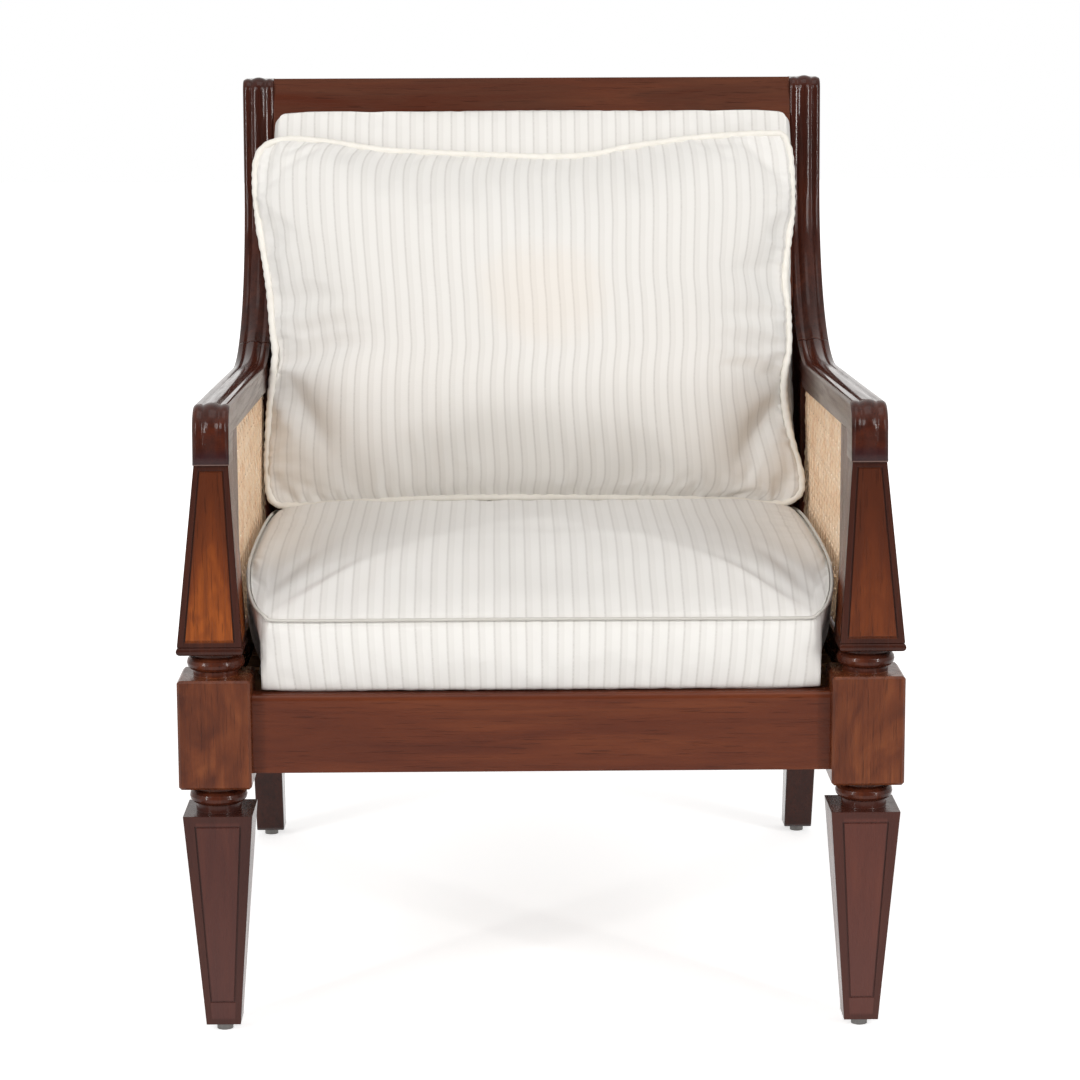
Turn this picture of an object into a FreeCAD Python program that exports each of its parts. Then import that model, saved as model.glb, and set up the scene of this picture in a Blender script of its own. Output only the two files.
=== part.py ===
import FreeCAD, Part
import math
import os

# Planters chair: a colonial lounge armchair with caned sides and loose cushions.
# Millimetres and degrees. X is across the chair, +Z is up and the front faces -Y.
# Side views are drawn in depth (rearward from the front of the legs) and height.

# Overall size
overall_width = 700.0
overall_depth = 778.0
overall_height = 912.5

# Clearances
cut_overrun = 5.0
soft_clearance = 0.5
joint_clearance = 0.15
tenon_end_gap = 1.0
least_edge = 0.01
quarter_turn = 90.0

# Seat frame
seat_rail_bottom = 263.0
seat_rail_height = 77.0
front_rail_depth = 15.0
front_rail_thickness = 25.0
front_rail_round = 6.0
side_rail_thickness = 28.0
back_rail_depth = 590.0
back_rail_thickness = 22.0
tenon_length = 22.0
tenon_thickness = 10.0
tenon_shoulder = 11.0
stub_tenon_width = 14.0
stub_tenon_length = 20.0

# Front posts
block_width = 70.3
block_bottom = 250.0
block_height = 107.5
block_chamfer = 2.5
foot_width = 33.5
foot_bottom = 8.4
leg_top_width = 67.0
leg_top = 223.3
leg_axis_inset = 36.5
bead_radius = 28.0
bead_height = 14.0
bead_facet_count = 6
neck_radius = 22.0
lower_bead_bottom = 231.0
upper_bead_bottom = 363.0
support_bottom = 381.5
nosing_height = 8.5
nosing_proud = 1.0
nosing_bulge = 3.0
support_width = 62.0
support_depth = 60.0
support_outer_inset = 1.0
support_front_inset = 3.0
arm_joint_height = 565.5
support_top_width = 33.0
support_top_front = 7.5
panel_line_width = 1.6
panel_line_depth = 1.2
leg_panel_margin_top = 11.0
leg_panel_margin_foot = 4.6
leg_panel_end_margin = 10.0
leg_panel_foot_margin = 23.0
support_panel_margin_top = 4.5
support_panel_margin_bottom = 6.5
support_panel_end_margin = 5.0

# Arms and stiles
arm_width = 35.0
arm_outer_inset = 19.5
arm_front = 4.0
scroll_radius = 28.0
scroll_centre_height = 594.5
scroll_depth = 46.0
scroll_throat_radius = 13.0
plain_band_height = 8.5
bow_radius = 200.0
bow_centre_depth = 470.0
bow_centre_height = 807.0
stile_lean = 3.9
arm_depth = 31.5
stile_depth = 45.0
arm_joint_angle = 24.0
top_roll_radius = 15.0
reed_depth = 2.6
reed_band_depth = 12.0
centre_reed_share = 0.48
side_reed_drop = 1.6
edge_arris_share = 0.04

# Back legs
back_foot_width = 33.0
back_foot_depth = 37.0
back_foot_splay = 7.0
leg_front_depth = 515.0
leg_front_bend_radius = 400.0
leg_knee_share = 0.243
leg_knee_height = 300.0
leg_back_depth = 582.0
leg_back_bend_radius = 250.0
stile_leave_angle = 47.0

# Glides
glide_radius = 8.0
glide_nail_width = 3.5
glide_nail_length = 15.0

# Caned side panels
side_stile_rear = 110.0
side_panel_rail_height = 30.0
side_panel_reveal = 1.0
cane_recess = 6.0
cane_thickness = 1.6
cane_hole_pitch = 72.0
cane_hole_size = 36.0
cane_hole_margin = 28.0

# Caned back
back_plane_depth = 556.0
back_plane_height = 450.0
back_frame_thickness = 21.0
crest_height = 76.0
crest_top_drop = 1.5
crest_setback = 9.8
back_tenon_setback = 9.5
lower_back_rail_bottom = 392.0
lower_back_rail_height = 60.0
back_stile_width = 30.0

# Seat deck
slat_count = 7
slat_thickness = 12.0
slat_gap = 14.0
slat_end_gap = 1.0
cleat_width = 20.0
cleat_height = 20.0
cleat_end_gap = 4.0
deck_front_gap = 6.0

# Corner blocks
corner_block_leg = 78.0
corner_block_height = 34.0
corner_block_lift = 6.0

# Seat cushion
seat_cushion_front = 20.0
seat_front_height = 413.0
seat_side_height = 444.0
seat_crown = 15.0
seat_side_bulge = 2.0
seat_cushion_drawn_in = 5.0

# Back cushion and pillow, measured along and across the slope of the back
loose_side_gap = 3.5
crest_shown = 51.0
back_cushion_thickness = 74.0
back_cushion_crown = 9.0
pillow_gap = 0.3
pillow_top_drop = 30.0
pillow_rear_crown = 8.0
pillow_front_crown = 66.0

# Places that follow from the sizes above
seat_rail_top = seat_rail_bottom + seat_rail_height
block_top = block_bottom + block_height
block_inner = overall_width / 2 - block_width
front_post_x = overall_width / 2 - block_width / 2
front_post_depth = block_width / 2
leg_axis_x = overall_width / 2 - leg_axis_inset
support_outer = overall_width / 2 - support_outer_inset
support_inner = support_outer - support_width
support_rear = support_front_inset + support_depth
nosing_top = support_bottom + nosing_height
arm_outer = overall_width / 2 - arm_outer_inset
arm_inner = arm_outer - arm_width
arm_x = (arm_outer + arm_inner) / 2
scroll_rear = arm_front + scroll_depth
side_rail_outer = arm_x + side_rail_thickness / 2
side_rail_inner = arm_x - side_rail_thickness / 2
cane_inner = arm_inner + cane_recess
cleat_top = seat_rail_top - slat_thickness
cushion_half_width = arm_inner - soft_clearance
loose_half_width = arm_inner - loose_side_gap


def point(x, depth, height):
    """A place in the model's frame, from a depth behind the front of the legs."""
    return FreeCAD.Vector(x, depth - overall_depth / 2, height)


def side_point(spot, x=0.0):
    """A (depth, height) spot of a side view, at a place across the chair."""
    return point(x, spot[0], spot[1])


def polar(centre, radius, angle):
    """Spot on a side-view circle. The angle is from straight down towards the rear."""
    turn = math.radians(angle)
    return (centre[0] + radius * math.sin(turn), centre[1] - radius * math.cos(turn))


def beside(spot, direction, distance):
    """Spot at a distance from another along a side-view direction."""
    return (spot[0] + direction[0] * distance, spot[1] + direction[1] * distance)


def side_wire(start, steps, x=0.0):
    """Closed wire in a side view. A step is ("line", end) or ("arc", middle, end)."""
    edges = []
    here = side_point(start, x)
    for step in steps:
        there = side_point(step[-1], x)
        if there.distanceToPoint(here) < least_edge:
            continue
        if step[0] == "arc":
            edges.append(Part.Arc(here, side_point(step[1], x), there).toShape())
        else:
            edges.append(Part.LineSegment(here, there).toShape())
        here = there
    edges.append(Part.LineSegment(here, side_point(start, x)).toShape())
    return Part.Wire(edges)


def slab(start, steps, inner, outer):
    """Solid with a side-view outline, between two places across the chair."""
    face = Part.Face(side_wire(start, steps, inner))
    return face.extrude(FreeCAD.Vector(outer - inner, 0, 0))


def box(x_range, depth_range, height_range):
    """Box between two places in each direction."""
    return Part.makeBox(x_range[1] - x_range[0], depth_range[1] - depth_range[0],
                        height_range[1] - height_range[0],
                        point(x_range[0], depth_range[0], height_range[0]))


def rectangle(x_range, depth_range, height):
    """Corners of a level rectangle."""
    return [point(x_range[0], depth_range[0], height), point(x_range[1], depth_range[0], height),
            point(x_range[1], depth_range[1], height), point(x_range[0], depth_range[1], height)]


def flat_face(corners):
    """Flat face inside a ring of corners."""
    return Part.Face(Part.makePolygon(corners + corners[:1]))


def turned(profile, axis_spot):
    """Solid of a (radius, height) profile about the upright axis at an (x, depth) spot."""
    centre = point(axis_spot[0], axis_spot[1], 0)
    corners = [centre + FreeCAD.Vector(radius, 0, height) for radius, height in profile]
    return flat_face(corners).revolve(centre, FreeCAD.Vector(0, 0, 1), 4 * quarter_turn)


def taper(lower, upper):
    """Straight-sided solid between two level rectangles."""
    faces = [flat_face(lower), flat_face(upper)]
    for here in range(len(lower)):
        after = (here + 1) % len(lower)
        faces.append(flat_face([lower[here], lower[after], upper[after], upper[here]]))
    solid = Part.Solid(Part.Shell(faces))
    return solid if solid.Volume > 0 else solid.reversed()


def spread(centre, width):
    """Range of a width about a centre."""
    return (centre - width / 2, centre + width / 2)


def mirrored(shape):
    """The same piece on the other side of the chair."""
    return shape.mirror(FreeCAD.Vector(0, 0, 0), FreeCAD.Vector(1, 0, 0))


def panel_line(lower_left, lower_right, upper_left, upper_right, margins):
    """Ring that cuts a scratched line round a tapered flat face, inside its margins."""
    side_low, side_high, low, high = margins

    normal = (lower_right - lower_left).cross(upper_left - lower_left).normalize()

    def plug(extra):
        across_low = (lower_right - lower_left).normalize()
        across_high = (upper_right - upper_left).normalize()
        up = ((upper_left + upper_right) - (lower_left + lower_right)).normalize()
        corners = [lower_left + across_low * (side_low + extra) + up * (low + extra),
                   lower_right - across_low * (side_low + extra) + up * (low + extra),
                   upper_right - across_high * (side_high + extra) - up * (high + extra),
                   upper_left + across_high * (side_high + extra) - up * (high + extra)]
        corners = [corner - normal * panel_line_depth for corner in corners]
        return flat_face(corners).extrude(normal * (panel_line_depth + cut_overrun))

    return plug(0.0).cut(plug(panel_line_width))


def bead(bottom, below, above):
    """Turned half-round bead with a neck under and over it, on the front post's axis."""
    half_height = bead_height / 2
    bulge = bead_radius - neck_radius
    curve_radius = (half_height ** 2 + bulge ** 2) / (2 * bulge)
    curve_centre = bead_radius - curve_radius
    half_turn = 2 * math.atan2(bulge, half_height)
    profile = [(0, below), (neck_radius, below)]
    for step in range(bead_facet_count + 1):
        turn = half_turn * (2 * step / bead_facet_count - 1)
        profile.append((curve_centre + curve_radius * math.cos(turn),
                        bottom + half_height + curve_radius * math.sin(turn)))
    profile += [(neck_radius, above), (0, above)]
    return turned(profile, (front_post_x, front_post_depth))


def face_corners(lower, upper, side):
    """Corners of the front or the outer face of a tapered leg, seen from outside it."""
    (x_low, depth_low, height_low), (x_high, depth_high, height_high) = lower, upper
    if side == "front":
        picks = [(0, 0), (1, 0)]
    else:
        picks = [(1, 0), (1, 1)]
    low = [point(x_low[i], depth_low[j], height_low) for i, j in picks]
    high = [point(x_high[i], depth_high[j], height_high) for i, j in picks]
    return low + high


def panelled_taper(lower, upper, margins):
    """Tapered leg with a panel line on its front and outer faces."""
    body = taper(rectangle(*lower), rectangle(*upper))
    for side in ("front", "outer"):
        body = body.cut(panel_line(*face_corners(lower, upper, side), margins))
    return body


def front_leg_taper():
    """The tapered leg under the block."""
    foot = (spread(leg_axis_x, foot_width), spread(front_post_depth, foot_width), foot_bottom)
    top = (spread(leg_axis_x, leg_top_width), spread(front_post_depth, leg_top_width), leg_top)
    margins = (leg_panel_margin_foot, leg_panel_margin_top, leg_panel_foot_margin,
               leg_panel_end_margin)
    return panelled_taper(foot, top, margins)


def bulging_bar(start, end, place, run):
    """Bar as high as the nosing with bulging ends. It is drawn at a place and runs along a vector."""
    middle = (support_bottom + nosing_top) / 2
    spots = [place(start + nosing_bulge, support_bottom), place(end - nosing_bulge, support_bottom),
             place(end - nosing_bulge, nosing_top), place(start + nosing_bulge, nosing_top)]
    edges = [Part.LineSegment(spots[0], spots[1]).toShape(),
             Part.Arc(spots[1], place(end, middle), spots[2]).toShape(),
             Part.LineSegment(spots[2], spots[3]).toShape(),
             Part.Arc(spots[3], place(start, middle), spots[0]).toShape()]
    return Part.Face(Part.Wire(edges)).extrude(run)


def nosing():
    """Moulding under the arm support, rounded and mitred on all four sides."""
    left, right = support_inner - nosing_proud, support_outer + nosing_proud
    front, rear = support_front_inset - nosing_proud, support_rear + nosing_proud
    across = bulging_bar(left, right, lambda x, height: point(x, front, height),
                         FreeCAD.Vector(0, rear - front, 0))
    deep = bulging_bar(front, rear, lambda depth, height: point(left, depth, height),
                       FreeCAD.Vector(right - left, 0, 0))
    return across.common(deep)


def arm_support():
    """The tapered upright over the block that carries the arm's scroll."""
    low = ((support_inner, support_outer), (support_front_inset, support_rear), nosing_top)
    high = (spread(arm_x, support_top_width), (support_top_front, scroll_rear), arm_joint_height)
    margins = (support_panel_margin_bottom, support_panel_margin_top, support_panel_end_margin,
               support_panel_end_margin)
    return panelled_taper(low, high, margins).multiFuse([nosing(), stub_tenon(scroll_joint)])


def stub_tenon(joint, grow=0.0, end_gap=0.0):
    """Square tenon out of a joint, a side-view spot and a tip rearward, or with growth its mortise."""
    spot, tip = joint
    width = stub_tenon_width + 2 * grow
    body = Part.makeBox(width, width, stub_tenon_length + end_gap + grow,
                        FreeCAD.Vector(-width / 2, -width / 2, -grow))
    body.Placement = FreeCAD.Placement(side_point(spot, arm_x),
                                       FreeCAD.Rotation(FreeCAD.Vector(1, 0, 0), -tip))
    return body


scroll_joint = (((support_top_front + scroll_rear) / 2, arm_joint_height), 0.0)


def front_post():
    """Leg, beads, block and arm support, turned and cut from one piece."""
    block = box(spread(front_post_x, block_width), spread(front_post_depth, block_width),
                (block_bottom, block_top))
    block = block.makeChamfer(block_chamfer, block.Edges)
    lower_bead = bead(lower_bead_bottom, leg_top - cut_overrun, block_bottom + cut_overrun)
    upper_bead = bead(upper_bead_bottom, block_top - cut_overrun, support_bottom + cut_overrun)
    return front_leg_taper().multiFuse([lower_bead, block, upper_bead, arm_support()])


# The line that the reeds follow: up the scroll, along the arm, round the bow and up the stile
scroll_centre = (arm_front + scroll_radius, scroll_centre_height)
bow_centre = (bow_centre_depth, bow_centre_height)
centre_run = bow_centre_depth - scroll_centre[0]
centre_rise = bow_centre_height - scroll_centre_height
arm_slope = math.degrees(math.asin((bow_radius + scroll_radius) / math.hypot(centre_run, centre_rise))
                         - math.atan2(centre_rise, centre_run))
arm_direction = (math.cos(math.radians(arm_slope)), -math.sin(math.radians(arm_slope)))
arm_normal = (-arm_direction[1], arm_direction[0])
stile_direction = (math.sin(math.radians(stile_lean)), math.cos(math.radians(stile_lean)))
stile_forward = (-stile_direction[1], stile_direction[0])
straight_forward = (-1.0, 0.0)
bow_end_angle = quarter_turn - stile_lean
band_start_height = arm_joint_height + plain_band_height
bow_joint = (polar(bow_centre, bow_radius + (reed_depth + arm_depth) / 2, arm_joint_angle),
             quarter_turn - arm_joint_angle)


def between(first, second):
    """Unit direction half way between two others."""
    across, up = first[0] + second[0], first[1] + second[1]
    size = math.hypot(across, up)
    return (across / size, up / size)


def reed_line(inset):
    """Spots of the reeds' line, moved into the wood by an inset."""
    scroll_inner = scroll_radius - inset
    roll_inner = top_roll_radius - inset
    stile_foot = polar(bow_centre, bow_radius, bow_end_angle)
    roll_rise = overall_height - top_roll_radius * (1 - stile_forward[1]) - stile_foot[1]
    roll_start = beside(stile_foot, stile_direction, roll_rise / stile_direction[1])
    roll_centre = beside(roll_start, stile_forward, -top_roll_radius)
    roll_top = beside(roll_centre, stile_direction, roll_inner)
    return {
        "scroll_foot": (arm_front + inset, scroll_centre_height),
        "scroll_middle": beside(scroll_centre, between(straight_forward, arm_normal), scroll_inner),
        "scroll_top": beside(scroll_centre, arm_normal, scroll_inner),
        "bow_start": polar(bow_centre, bow_radius + inset, -arm_slope),
        "bow_end": polar(bow_centre, bow_radius + inset, bow_end_angle),
        "roll_centre": roll_centre,
        "roll_foot": beside(roll_centre, stile_forward, roll_inner),
        "roll_middle": beside(roll_centre, between(stile_forward, stile_direction), roll_inner),
        "roll_top": roll_top,
        "top_rear": beside(roll_top, stile_forward, top_roll_radius - stile_depth),
    }


def reed_section(place, outward):
    """Cross-section of the reeded band at a side-view spot."""
    side_width = arm_width * ((1 - centre_reed_share) / 2 - edge_arris_share)
    centre_half = arm_width * centre_reed_share / 2
    marks = [(-arm_width / 2, reed_depth), (-centre_half - side_width, reed_depth),
             (-centre_half - side_width / 2, side_reed_drop), (-centre_half, reed_depth),
             (0.0, 0.0), (centre_half, reed_depth), (centre_half + side_width / 2, side_reed_drop),
             (centre_half + side_width, reed_depth), (arm_width / 2, reed_depth),
             (arm_width / 2, reed_band_depth), (-arm_width / 2, reed_band_depth)]
    spots = [side_point(beside(place, outward, -inward), arm_x + across) for across, inward in marks]
    edges = [Part.LineSegment(spots[0], spots[1]).toShape()]
    for first in (1, 3, 5):
        edges.append(Part.Arc(spots[first], spots[first + 1], spots[first + 2]).toShape())
    for first in (7, 8, 9):
        edges.append(Part.LineSegment(spots[first], spots[first + 1]).toShape())
    edges.append(Part.LineSegment(spots[-1], spots[0]).toShape())
    return Part.Face(Part.Wire(edges))


def reed_run(start, end, outward):
    """Straight stretch of reeded band."""
    return reed_section(start, outward).extrude(side_point(end) - side_point(start))


def reed_bend(start, outward, centre, turn):
    """Stretch of reeded band round a centre. A positive turn tips the top rearward."""
    return reed_section(start, outward).revolve(side_point(centre), FreeCAD.Vector(-1, 0, 0), turn)


def arm_reeds():
    """Reeds of the arm, from the scroll's plain band to the joint in the bow."""
    line = reed_line(0.0)
    return [reed_run((arm_front, band_start_height), line["scroll_foot"], straight_forward),
            reed_bend(line["scroll_foot"], straight_forward, scroll_centre, quarter_turn + arm_slope),
            reed_run(line["scroll_top"], line["bow_start"], arm_normal),
            reed_bend(line["bow_start"], arm_normal, bow_centre, -(arm_slope + arm_joint_angle))]


def stile_reeds():
    """Reeds of the stile, from the joint in the bow over the rolled top."""
    line = reed_line(0.0)
    start = polar(bow_centre, bow_radius, arm_joint_angle)
    turn = math.radians(arm_joint_angle)
    return [reed_bend(start, (-math.sin(turn), math.cos(turn)), bow_centre,
                      arm_joint_angle - bow_end_angle),
            reed_run(line["bow_end"], line["roll_foot"], stile_forward),
            reed_bend(line["roll_foot"], stile_forward, line["roll_centre"], quarter_turn),
            reed_run(line["roll_top"], line["top_rear"], stile_direction)]


def bow_arc(radius, start_angle, end_angle):
    """Step along a circle about the bow's centre."""
    return ("arc", polar(bow_centre, radius, (start_angle + end_angle) / 2),
            polar(bow_centre, radius, end_angle))


def arm_underside():
    """Side-view spots under the arm: its straight run, the throat and the scroll's foot."""
    start = polar(bow_centre, bow_radius + arm_depth, -arm_slope)
    top_depth = scroll_rear + scroll_throat_radius * (1 + arm_normal[0])
    throat_top = beside(start, arm_direction, (top_depth - start[0]) / arm_direction[0])
    throat_centre = beside(throat_top, arm_normal, -scroll_throat_radius)
    return {
        "start": start,
        "throat_top": throat_top,
        "throat_middle": beside(throat_centre, between(straight_forward, arm_normal),
                                scroll_throat_radius),
        "throat_foot": (scroll_rear, throat_centre[1]),
        "scroll_foot": (scroll_rear, arm_joint_height),
    }


def under_arm_at(depth):
    """Spot on the straight run of the arm's underside."""
    start = arm_underside()["start"]
    return beside(start, arm_direction, (depth - start[0]) / arm_direction[0])


def arm():
    """Arm with its front scroll, cut square to the bow where it meets the stile."""
    core = reed_line(reed_band_depth / 2)
    under = arm_underside()
    body = slab((core["scroll_foot"][0], arm_joint_height), [
        ("line", core["scroll_foot"]),
        ("arc", core["scroll_middle"], core["scroll_top"]),
        ("line", core["bow_start"]),
        bow_arc(bow_radius + reed_band_depth / 2, -arm_slope, arm_joint_angle),
        ("line", polar(bow_centre, bow_radius + arm_depth, arm_joint_angle)),
        bow_arc(bow_radius + arm_depth, arm_joint_angle, -arm_slope),
        ("line", under["throat_top"]),
        ("arc", under["throat_middle"], under["throat_foot"]),
        ("line", under["scroll_foot"]),
    ], arm_inner, arm_outer)
    band = box((arm_inner, arm_outer), (arm_front, arm_front + reed_band_depth),
               (arm_joint_height, band_start_height))
    whole = body.multiFuse(arm_reeds() + [band]).removeSplitter()
    return whole.fuse(stub_tenon(bow_joint)).cut(stub_tenon(scroll_joint, joint_clearance, tenon_end_gap))


def back_leg_edges():
    """Side-view spots of the back leg's front and rear edges."""
    foot_front = (overall_depth - back_foot_depth, foot_bottom)
    foot_rear = (overall_depth, foot_bottom)
    knee_depth = leg_front_depth + leg_knee_share * (foot_front[0] - leg_front_depth)
    rake = math.atan2(foot_front[0] - knee_depth, leg_knee_height - foot_bottom)
    corner_height = leg_knee_height + (knee_depth - leg_front_depth) / math.tan(rake)
    bend_height = corner_height + leg_front_bend_radius * math.tan(rake / 2)
    front_centre = (leg_front_depth + leg_front_bend_radius, bend_height)
    front_turn = math.degrees(rake)
    leave = polar(bow_centre, bow_radius + stile_depth, stile_leave_angle)
    turn = math.radians(stile_leave_angle)
    hollow_radius = (leave[0] - leg_back_depth) / (1 - math.sin(turn))
    hollow_centre = (leg_back_depth + hollow_radius, leave[1] - hollow_radius * math.cos(turn))
    bend_centre = (leg_back_depth + leg_back_bend_radius, hollow_centre[1])
    away = (foot_rear[0] - bend_centre[0], bend_centre[1] - foot_rear[1])
    rear_angle = math.degrees(math.atan2(away[0], away[1])
                              - math.acos(leg_back_bend_radius / math.hypot(away[0], away[1])))
    return {
        "foot_front": foot_front,
        "foot_rear": foot_rear,
        "front_low": polar(front_centre, leg_front_bend_radius, front_turn - quarter_turn),
        "front_middle": polar(front_centre, leg_front_bend_radius, front_turn / 2 - quarter_turn),
        "front_high": (leg_front_depth, bend_height),
        "leave": leave,
        "hollow_middle": polar(hollow_centre, hollow_radius, (stile_leave_angle - 3 * quarter_turn) / 2),
        "rear_high": (leg_back_depth, hollow_centre[1]),
        "rear_middle": polar(bend_centre, leg_back_bend_radius, (rear_angle - quarter_turn) / 2),
        "rear_low": polar(bend_centre, leg_back_bend_radius, rear_angle),
    }


def on_line(first, second, height):
    """Spot at a height on the line through two side-view spots."""
    share = (height - first[1]) / (second[1] - first[1])
    return (first[0] + (second[0] - first[0]) * share, height)


shoulder_radius = bow_radius + arm_depth
shoulder_angle = math.degrees(math.asin((leg_front_depth - bow_centre_depth) / shoulder_radius))


def back_post():
    """Sabre leg and reeded stile in one piece, with the shoulder that carries the arm."""
    edge = back_leg_edges()
    core = reed_line(reed_band_depth / 2)
    split_height = min(edge["front_low"][1], edge["rear_low"][1])
    front_split = on_line(edge["front_low"], edge["foot_front"], split_height)
    rear_split = on_line(edge["rear_low"], edge["foot_rear"], split_height)
    body = slab(front_split, [
        ("line", edge["front_low"]),
        ("arc", edge["front_middle"], edge["front_high"]),
        ("line", polar(bow_centre, shoulder_radius, shoulder_angle)),
        bow_arc(shoulder_radius, shoulder_angle, arm_joint_angle),
        ("line", polar(bow_centre, bow_radius + reed_band_depth / 2, arm_joint_angle)),
        bow_arc(bow_radius + reed_band_depth / 2, arm_joint_angle, bow_end_angle),
        ("line", core["roll_foot"]),
        ("arc", core["roll_middle"], core["roll_top"]),
        ("line", core["top_rear"]),
        ("line", polar(bow_centre, bow_radius + stile_depth, bow_end_angle)),
        bow_arc(bow_radius + stile_depth, bow_end_angle, stile_leave_angle),
        ("arc", edge["hollow_middle"], edge["rear_high"]),
        ("arc", edge["rear_middle"], edge["rear_low"]),
        ("line", rear_split),
    ], arm_inner, arm_outer)
    foot_x = spread(arm_x + back_foot_splay, back_foot_width)
    leg = taper(rectangle(foot_x, (edge["foot_front"][0], edge["foot_rear"][0]), foot_bottom),
                rectangle((arm_inner, arm_outer), (front_split[0], rear_split[0]), split_height))
    return body.multiFuse([leg] + stile_reeds()).removeSplitter()


def tenon_bar(length, height, tenon_front, grow=0.0, end_gap=0.0):
    """Bar that is a rail's two tenons, or with some growth their mortises. It lies along X."""
    reach = length + 2 * (tenon_length + end_gap)
    corner = FreeCAD.Vector(-reach / 2, tenon_front - grow, tenon_shoulder - grow)
    return Part.makeBox(reach, tenon_thickness + 2 * grow, height - 2 * (tenon_shoulder - grow), corner)


def cross_rail(length, thickness, height, tenon_front, place):
    """Rail along X with a tenon at each end, and the bar that cuts its mortises."""
    body = Part.makeBox(length, thickness, height, FreeCAD.Vector(-length / 2, 0, 0))
    rail = body.fuse(tenon_bar(length, height, tenon_front))
    mortise = tenon_bar(length, height, tenon_front, joint_clearance, tenon_end_gap)
    rail.Placement = place
    mortise.Placement = place
    return rail, mortise


def rounded_rail(rail):
    """The front seat rail with its top front edge rounded."""
    edges = [edge for edge in rail.Edges
             if all(abs(end.Point.y - rail.BoundBox.YMin) < least_edge
                    and abs(end.Point.z - rail.BoundBox.ZMax) < least_edge for end in edge.Vertexes)]
    return rail.makeFillet(front_rail_round, edges)


def level(depth, height):
    """Placement of a rail whose front lower edge is at a side-view spot."""
    return FreeCAD.Placement(point(0, depth, height), FreeCAD.Rotation())


crest_top_height = overall_height - crest_top_drop
stile_front_at_crest = (polar(bow_centre, bow_radius, bow_end_angle)[0]
                        + (crest_top_height - polar(bow_centre, bow_radius, bow_end_angle)[1])
                        * math.tan(math.radians(stile_lean)))
back_lean = math.degrees(math.atan2(stile_front_at_crest + crest_setback - back_plane_depth,
                                    crest_top_height - back_plane_height))


def on_back(along):
    """Placement on the sloping front plane of the back, some way up the slope."""
    base = FreeCAD.Placement(point(0, back_plane_depth, back_plane_height),
                             FreeCAD.Rotation(FreeCAD.Vector(1, 0, 0), -back_lean))
    return base.multiply(FreeCAD.Placement(FreeCAD.Vector(0, 0, along), FreeCAD.Rotation()))


def up_back(height):
    """Distance up the slope of the back to a height on its front plane."""
    return (height - back_plane_height) / math.cos(math.radians(back_lean))


crest_top = up_back(crest_top_height)
crest_foot = crest_top - crest_height
lower_rail_foot = up_back(lower_back_rail_bottom)
lower_rail_top = lower_rail_foot + lower_back_rail_height


def steps_between(low, high, pitch):
    """Evenly spaced places that fill a range, about one pitch apart."""
    count = max(2, int(round((high - low) / pitch)) + 1)
    return [low + (high - low) * i / (count - 1) for i in range(count)]


def caned_sheet(outline, thickness, across, up, place):
    """Sheet with staggered diamond holes over two ranges, whose spots a function places."""
    half = cane_hole_size / 2
    diamond = [(-half, 0), (0, -half), (half, 0), (0, half), (-half, 0)]
    holes = []
    for row, high in enumerate(steps_between(*up, cane_hole_pitch / 2)):
        places = steps_between(*across, cane_hole_pitch)
        if row % 2:
            places = [(near + far) / 2 for near, far in zip(places, places[1:])]
        for near in places:
            holes.append(Part.makePolygon([place(near + aside, high + above) for aside, above in diamond]))
    return Part.makeFace([outline] + holes, "Part::FaceMakerBullseye").extrude(thickness)


def side_cane(arm_body, post):
    """Caned side panel inside its frame of stile, arm, post and bottom rail."""
    foot_height = seat_rail_top + side_panel_rail_height
    leg_middle = (leg_front_depth + leg_back_depth) / 2
    bow_foot = arm_underside()["start"][1]
    outline = side_wire((side_stile_rear, foot_height), [
        ("line", (leg_middle, foot_height)),
        ("line", (leg_middle, bow_foot + arm_depth / 2)),
        ("line", beside(under_arm_at(side_stile_rear), arm_normal, arm_depth / 2)),
    ], cane_inner)
    sheet = caned_sheet(outline, FreeCAD.Vector(cane_thickness, 0, 0),
                        (side_stile_rear + cane_hole_margin, leg_front_depth - cane_hole_margin),
                        (foot_height + cane_hole_margin, bow_foot - cane_hole_margin),
                        lambda depth, height: side_point((depth, height), cane_inner))
    return front_part(sheet.cut(post).cut(arm_body))


def back_cane():
    """Caned back panel inside the back's frame."""
    half_width = arm_inner - back_stile_width
    recess = (back_frame_thickness - cane_thickness) / 2

    def on_plane(x, along):
        return FreeCAD.Vector(x, recess, along)

    corners = [on_plane(-half_width, lower_rail_top), on_plane(half_width, lower_rail_top),
               on_plane(half_width, crest_foot), on_plane(-half_width, crest_foot)]
    panel = caned_sheet(Part.makePolygon(corners + corners[:1]), FreeCAD.Vector(0, cane_thickness, 0),
                        (-half_width + cane_hole_margin, half_width - cane_hole_margin),
                        (lower_rail_top + cane_hole_margin, crest_foot - cane_hole_margin), on_plane)
    panel.Placement = on_back(0)
    return panel


def back_stile():
    """Upright of the caned back's frame, between the lower rail and the crest."""
    stile = Part.makeBox(back_stile_width, back_frame_thickness, crest_foot - lower_rail_top,
                         FreeCAD.Vector(arm_inner - back_stile_width, 0, lower_rail_top))
    stile.Placement = on_back(0)
    return stile


def side_panel_stile():
    """Upright behind the arm support, at the front of the cane."""
    under = arm_underside()
    behind_nosing = support_rear + nosing_proud
    return slab((block_width, seat_rail_top), [
        ("line", (side_stile_rear, seat_rail_top)),
        ("line", under_arm_at(side_stile_rear)),
        ("line", under["throat_top"]),
        ("arc", under["throat_middle"], under["throat_foot"]),
        ("line", under["scroll_foot"]),
        ("line", (support_rear, nosing_top)),
        ("line", (behind_nosing, nosing_top)),
        ("line", (behind_nosing, block_top)),
        ("line", (block_width, block_top)),
    ], arm_inner + side_panel_reveal, arm_outer - side_panel_reveal)


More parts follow.
